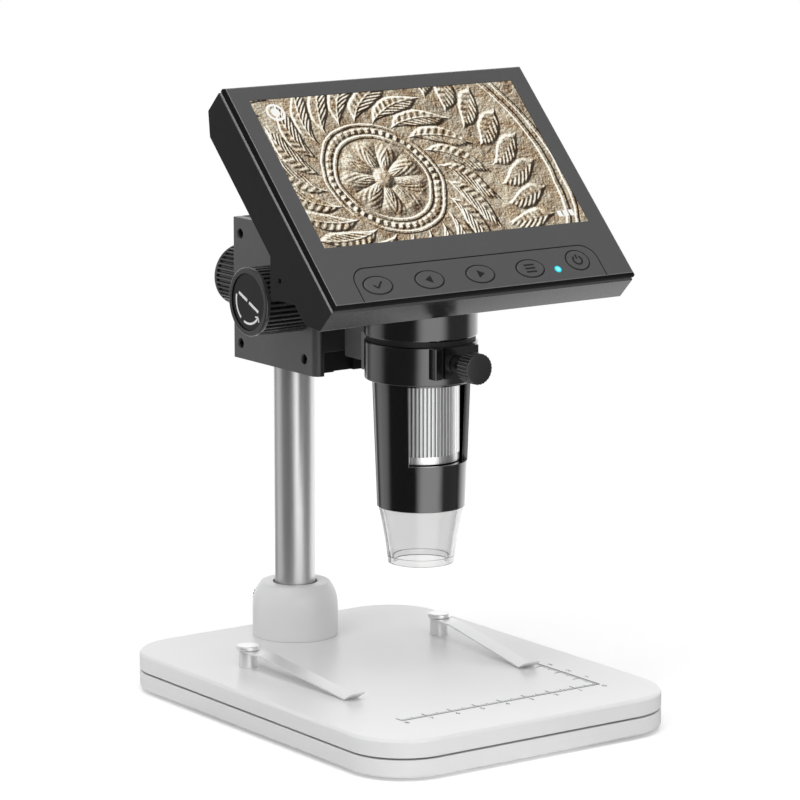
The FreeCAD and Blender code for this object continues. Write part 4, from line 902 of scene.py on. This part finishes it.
class MICROSCOPE_OT_screw_face(Operator):
    """Cap the clamp screw's knurled head with a smooth face"""
    bl_idname = "microscope.screw_face"
    bl_label = "Clamp screw face"

    radius = 5.0 * MM
    depth = 0.9 * MM
    proud = 0.12 * MM
    rounding = 0.3 * MM

    def execute(self, context):
        place = middle("clamp_screw")
        place.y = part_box("clamp_screw")[0].y - self.proud + self.depth / 2
        bm = bmesh.new()
        bmesh.ops.create_cone(bm, cap_ends=True, segments=72, radius1=self.radius, radius2=self.radius,
                              depth=self.depth,
                              matrix=Matrix.Translation(place) @ Matrix.Rotation(math.radians(90), 4, "X"))
        round_edges(bm, [e for e in bm.edges if is_crisp(e, 60)], self.rounding, 3)
        make_piece(bm, "clamp_screw_face", BODIES["clamp_screw"], finish_of("screw_face"))
        return {"FINISHED"}


class MICROSCOPE_OT_knob_marks(Operator):
    """Print the turning marks on the left focus knob"""
    bl_idname = "microscope.knob_marks"
    bl_label = "Knob marks"

    thickness = 0.04 * MM
    width = 0.75 * MM
    arcs = ((165, 232), (248, 318))
    tip = math.radians(322)
    barb = 1.7 * MM
    barb_lean = 0.9
    slope = Vector((9.2, -4.2)) * MM
    dashes = ((-0.62, -0.08), (0.04, 0.64))

    def execute(self, context):
        lift = settings().lift
        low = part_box("knob_discs")[0]
        centre = middle("left_focus_knob")
        outward = Matrix(((0, 0, -1, low.x), (-1, 0, 0, centre.y), (0, 1, 0, centre.z), (0, 0, 0, 1)))
        radius = lift.mark_radius
        bm = bmesh.new()
        for first, last in self.arcs:
            arc_stroke(bm, radius, first, last, self.width, self.thickness, outward)
        start = Vector((math.cos(self.tip), math.sin(self.tip))) * radius
        for lean in (-self.barb_lean, self.barb_lean):
            back = self.tip - math.pi / 2 + lean
            end = start + Vector((math.cos(back), math.sin(back))) * self.barb
            stroke(bm, start, end, self.width * 0.7, self.thickness, outward)
        for first, last in self.dashes:
            stroke(bm, self.slope * first, self.slope * last, self.width * 1.3, self.thickness, outward)
        printed(bm, "knob_marks", "focus_knobs", ink("mark_ink", lift.mark).material)
        return {"FINISHED"}


class MICROSCOPE_OT_carriage(Operator):
    """Finish the support arm and the clamp ring"""
    bl_idname = "microscope.carriage"
    bl_label = "Arm and ring"

    def execute(self, context):
        edge = settings().lift.edge
        soften("support_arm", edge, finish="arm_metal")
        soften("clamp_ring", edge, held=True, finish="satin_black")
        dress("arm_screws")
        return {"FINISHED"}


class MICROSCOPE_OT_housing(Operator):
    """Finish the head's rear housing, its sockets and screws"""
    bl_idname = "microscope.housing"
    bl_label = "Rear housing"

    def execute(self, context):
        soften("rear_housing", settings().head.edge)
        dress("housing_screws", "usb_socket", "card_socket")
        return {"FINISHED"}


class MICROSCOPE_OT_fascia(Operator):
    """Finish the head's satin face with its polished edge"""
    bl_idname = "microscope.fascia"
    bl_label = "Fascia"
    edge = 0.10 * MM

    def execute(self, context):
        soften("front_fascia", self.edge)
        return {"FINISHED"}


class MICROSCOPE_OT_screen(Operator):
    """Light the screen and the status light"""
    bl_idname = "microscope.screen"
    bl_label = "Screen"

    def execute(self, context):
        dress("display_panel", "display_frame", "status_led")
        return {"FINISHED"}


class MICROSCOPE_OT_buttons(Operator):
    """Finish the five buttons and print their signs"""
    bl_idname = "microscope.buttons"
    bl_label = "Buttons"

    proud = 0.17 * MM
    thickness = 0.04 * MM
    line = 0.62 * MM
    arrow = 1.75 * MM
    edge = 0.08 * MM

    def sign(self, node, strokes=(), arcs=(), arrow=None):
        """Strokes and arcs are in millimetres, and angles in degrees; arrow is the way an arrow points."""
        place = FACE @ Matrix.Translation((middle(node).x, BUTTON_OVALS[node][0] * MM, self.proud))
        bm = bmesh.new()
        for start, end in strokes:
            stroke(bm, Vector(start) * MM, Vector(end) * MM, self.line, self.thickness, place)
        for radius, first, last in arcs:
            arc_stroke(bm, radius * MM, first, last, self.line, self.thickness, place)
        if arrow is not None:
            turn = Matrix.Rotation(math.radians(arrow - 90), 4, "Z")
            bmesh.ops.create_cone(bm, cap_ends=True, segments=3, radius1=self.arrow, radius2=self.arrow,
                                  depth=self.thickness, matrix=place @ turn)
        material = bpy.data.materials.get("sign_ink") or ink("sign_ink", (0.008, 0.008, 0.008)).material
        printed(bm, node + "_sign", node, material)

    def execute(self, context):
        for node in BUTTON_OVALS:
            soften(node, self.edge)
        self.sign("select_button", [((-1.7, 0.1), (-0.4, -1.2)), ((-0.4, -1.2), (1.9, 1.3))])
        self.sign("left_button", arrow=180)
        self.sign("right_button", arrow=0)
        self.sign("menu_button", [((-2.0, level), (2.0, level)) for level in (-1.35, 0.0, 1.35)])
        self.sign("power_button", [((0, 0.5), (0, 2.2))], [(1.7, 125, 415)])
        return {"FINISHED"}


class MICROSCOPE_OT_electronics(Operator):
    """Finish the boards, battery and cable inside"""
    bl_idname = "microscope.electronics"
    bl_label = "Electronics"

    def execute(self, context):
        dress("main_board", "button_board", "tact_switches", "battery", "sensor_board", "camera_cable",
              "light_board", "light_leds")
        return {"FINISHED"}


class MICROSCOPE_OT_barrel(Operator):
    """Finish the neck, the barrel and the lens inside it"""
    bl_idname = "microscope.barrel"
    bl_label = "Barrel"

    def execute(self, context):
        edge = settings().barrel.edge
        soften("neck_collar", edge, finish="satin_black")
        soften("barrel_shell", edge)
        dress("swivel_washer", finish="washer_black")
        dress("lens_carrier", "lens_glass")
        return {"FINISHED"}


class MICROSCOPE_OT_wheel(Operator):
    """Finish the ribbed silver focus wheel"""
    bl_idname = "microscope.wheel"
    bl_label = "Focus wheel"
    edge = 0.08 * MM

    def execute(self, context):
        soften("focus_wheel", self.edge)
        return {"FINISHED"}


class MICROSCOPE_OT_cap(Operator):
    """Finish the clear tip cap"""
    bl_idname = "microscope.cap"
    bl_label = "Clear cap"

    def execute(self, context):
        soften("clear_cap", settings().barrel.edge)
        return {"FINISHED"}


class MICROSCOPE_OT_studio(Operator):
    """Make the camera, the pale floor and the soft light"""
    bl_idname = "microscope.studio"
    bl_label = "Studio"

    # In degrees, each card's bearing, half its width at its full level and half its width in all; then its level.
    card_base = 0.05
    card_places = ((-103, 12, 36, 2.15), (-50, 14, 30, 0.14), (131, 3, 30, 0.75), (38, 38, 66, 1.5))
    # Each lamp's place, what it points at, its width and its height, in metres.
    lamps = {"top_lamp": ((-0.22, -0.30, 1.7), (0, 0, 0.05), 1.7, 1.7),
             "front_lamp": ((-0.1, -1.7, 0.75), (0, 0, 0.10), 1.3, 0.8),
             "left_lamp": ((-1.10, -0.14, 1.20), (0, 0, 0.15), 0.45, 0.45)}
    eye = Vector((-0.76737, -1.08463, 0.35189))
    azimuth = math.radians(35.511)
    elevation = math.radians(10.579)

    def camera(self, lens):
        a, e = self.azimuth, self.elevation
        back = Vector((-math.sin(a) * math.cos(e), -math.cos(a) * math.cos(e), math.sin(e)))
        right = Vector((math.cos(a), -math.sin(a), 0))
        up = back.cross(right)
        turn = Matrix((right, up, back)).transposed()
        data = bpy.data.cameras.new("camera")
        data.lens = lens
        data.sensor_width = 36
        data.clip_start = 0.01
        data.clip_end = 20
        camera = add_object("camera", data)
        camera.matrix_world = Matrix.Translation(self.eye) @ turn.to_4x4()
        bpy.context.scene.camera = camera

    def rays(self, tree):
        """1 for rays that show the background as it is, and 1 for those that mirrors send out."""
        path = tree.node("ShaderNodeLightPath")
        seen = Value(tree, path.outputs["Is Camera Ray"]).most(Value(tree, path.outputs["Is Transmission Ray"]))
        return seen, Value(tree, path.outputs["Is Glossy Ray"]) * (1 - seen)

    def cards(self, tree, place):
        """Level of the white and grey cards round the object, as shiny surfaces mirror them."""
        flat = tree.vector("MULTIPLY", place, (1, 1, 0))
        way = tree.vector("NORMALIZE", flat)
        level = self.card_base
        for degrees, inner, outer, strength in self.card_places:
            turn = math.radians(degrees)
            towards = tree.vector("DOT_PRODUCT", way, (math.cos(turn), math.sin(turn), 0), output=1)
            level = towards.step(math.cos(math.radians(outer)), math.cos(math.radians(inner))) * strength + level
        return level

    def glow(self, tree, level):
        return tree.out("ShaderNodeEmission", None, {"Color": (1, 1, 1), "Strength": level})

    def floor(self, studio):
        bm = bmesh.new()
        bmesh.ops.create_circle(bm, cap_ends=True, radius=studio.floor_radius, segments=studio.floor_sides)
        mesh = bpy.data.meshes.new("floor")
        bm.to_mesh(mesh)
        bm.free()
        tree = Tree(bpy.data.materials.new("floor_paper"))
        tree.nodes.clear()
        place = tree.out("ShaderNodeTexCoord", output=3)
        grain = tree.noise(place, 0.002, 2.0)
        paper = tree.blend(grain, (0.83, 0.83, 0.83), (0.87, 0.87, 0.87))
        seen, mirrored = self.rays(tree)
        matt = tree.out("ShaderNodeBsdfDiffuse", None, {"Color": paper})
        near = tree.out("ShaderNodeAddShader", None, {0: matt, 1: self.glow(tree, seen * 0.30)})
        far = self.glow(tree, seen * 0.15 + 0.85)
        reach = tree.vector("LENGTH", place, output=1)
        mixed = tree.out("ShaderNodeMixShader", None, {0: reach.step(0.16, 0.60), 1: near, 2: far})
        card = self.glow(tree, self.cards(tree, place))
        mixed = tree.out("ShaderNodeMixShader", None, {0: mirrored, 1: mixed, 2: card})
        end = tree.node("ShaderNodeOutputMaterial")
        tree.put(end.inputs["Surface"], mixed)
        mesh.materials.append(tree.owner)
        add_object("floor", mesh)

    def surround(self, ambient):
        world = bpy.data.worlds.new("studio_surround")
        bpy.context.scene.world = world
        tree = Tree(world)
        seen, mirrored = self.rays(tree)
        way = tree.out("ShaderNodeTexCoord", output=0)
        up = tree.axes(way)[2]
        cards = self.cards(tree, way) * up.step(0.75, 0.25) + 0.12
        level = ambient * (1 - seen.most(mirrored)) + seen + mirrored * cards
        tree.put(tree.nodes["Background"].inputs["Strength"], level)
        tree.put(tree.nodes["Background"].inputs["Color"], (1, 1, 1))

    def soft_box(self, name, place, aim, width, height, power):
        data = bpy.data.lights.new(name, "AREA")
        data.shape = "RECTANGLE"
        data.size = width
        data.size_y = height
        data.energy = power
        lamp = add_object(name, data)
        facing = (Vector(place) - Vector(aim)).to_track_quat("Z", "Y")
        lamp.matrix_world = Matrix.Translation(place) @ facing.to_matrix().to_4x4()
        lamp.visible_camera = False

    def execute(self, context):
        studio = settings().studio
        self.camera(studio.lens)
        self.floor(studio)
        self.surround(studio.ambient)
        for name, (place, aim, width, height) in self.lamps.items():
            self.soft_box(name, place, aim, width, height, getattr(studio, name))
        context.scene.view_settings.view_transform = "Standard"
        return {"FINISHED"}


OPERATORS = [
    MICROSCOPE_OT_base, MICROSCOPE_OT_ruler, MICROSCOPE_OT_column, MICROSCOPE_OT_clips, MICROSCOPE_OT_block,
    MICROSCOPE_OT_knobs, MICROSCOPE_OT_screw_face, MICROSCOPE_OT_knob_marks, MICROSCOPE_OT_carriage,
    MICROSCOPE_OT_housing, MICROSCOPE_OT_fascia, MICROSCOPE_OT_screen, MICROSCOPE_OT_buttons,
    MICROSCOPE_OT_electronics, MICROSCOPE_OT_barrel, MICROSCOPE_OT_wheel, MICROSCOPE_OT_cap,
    MICROSCOPE_OT_studio,
]


class MICROSCOPE_PT_panel(Panel):
    """Sizes, colours and steps of the microscope"""
    bl_idname = "MICROSCOPE_PT_panel"
    bl_label = "Microscope"
    bl_space_type = "VIEW_3D"
    bl_region_type = "UI"
    bl_category = "Microscope"

    def draw(self, context):
        layout = self.layout
        values = context.scene.microscope
        for name, group in GROUPS.items():
            box = layout.box()
            box.label(text=name.capitalize())
            for prop in group.__annotations__:
                box.prop(getattr(values, name), prop)
        for operator in OPERATORS:
            layout.operator(operator.bl_idname)


CLASSES = [*GROUPS.values(), MicroscopeSettings, *OPERATORS, MICROSCOPE_PT_panel]


def register():
    for cls in CLASSES:
        bpy.utils.register_class(cls)
    bpy.types.Scene.microscope = PointerProperty(type=MicroscopeSettings)


def unregister():
    del bpy.types.Scene.microscope
    for cls in reversed(CLASSES):
        bpy.utils.unregister_class(cls)


def main():
    register()
    for operator in OPERATORS:
        name = operator.bl_idname.split(".")[1]
        getattr(bpy.ops.microscope, name)()


if __name__ == "__main__":
    main()
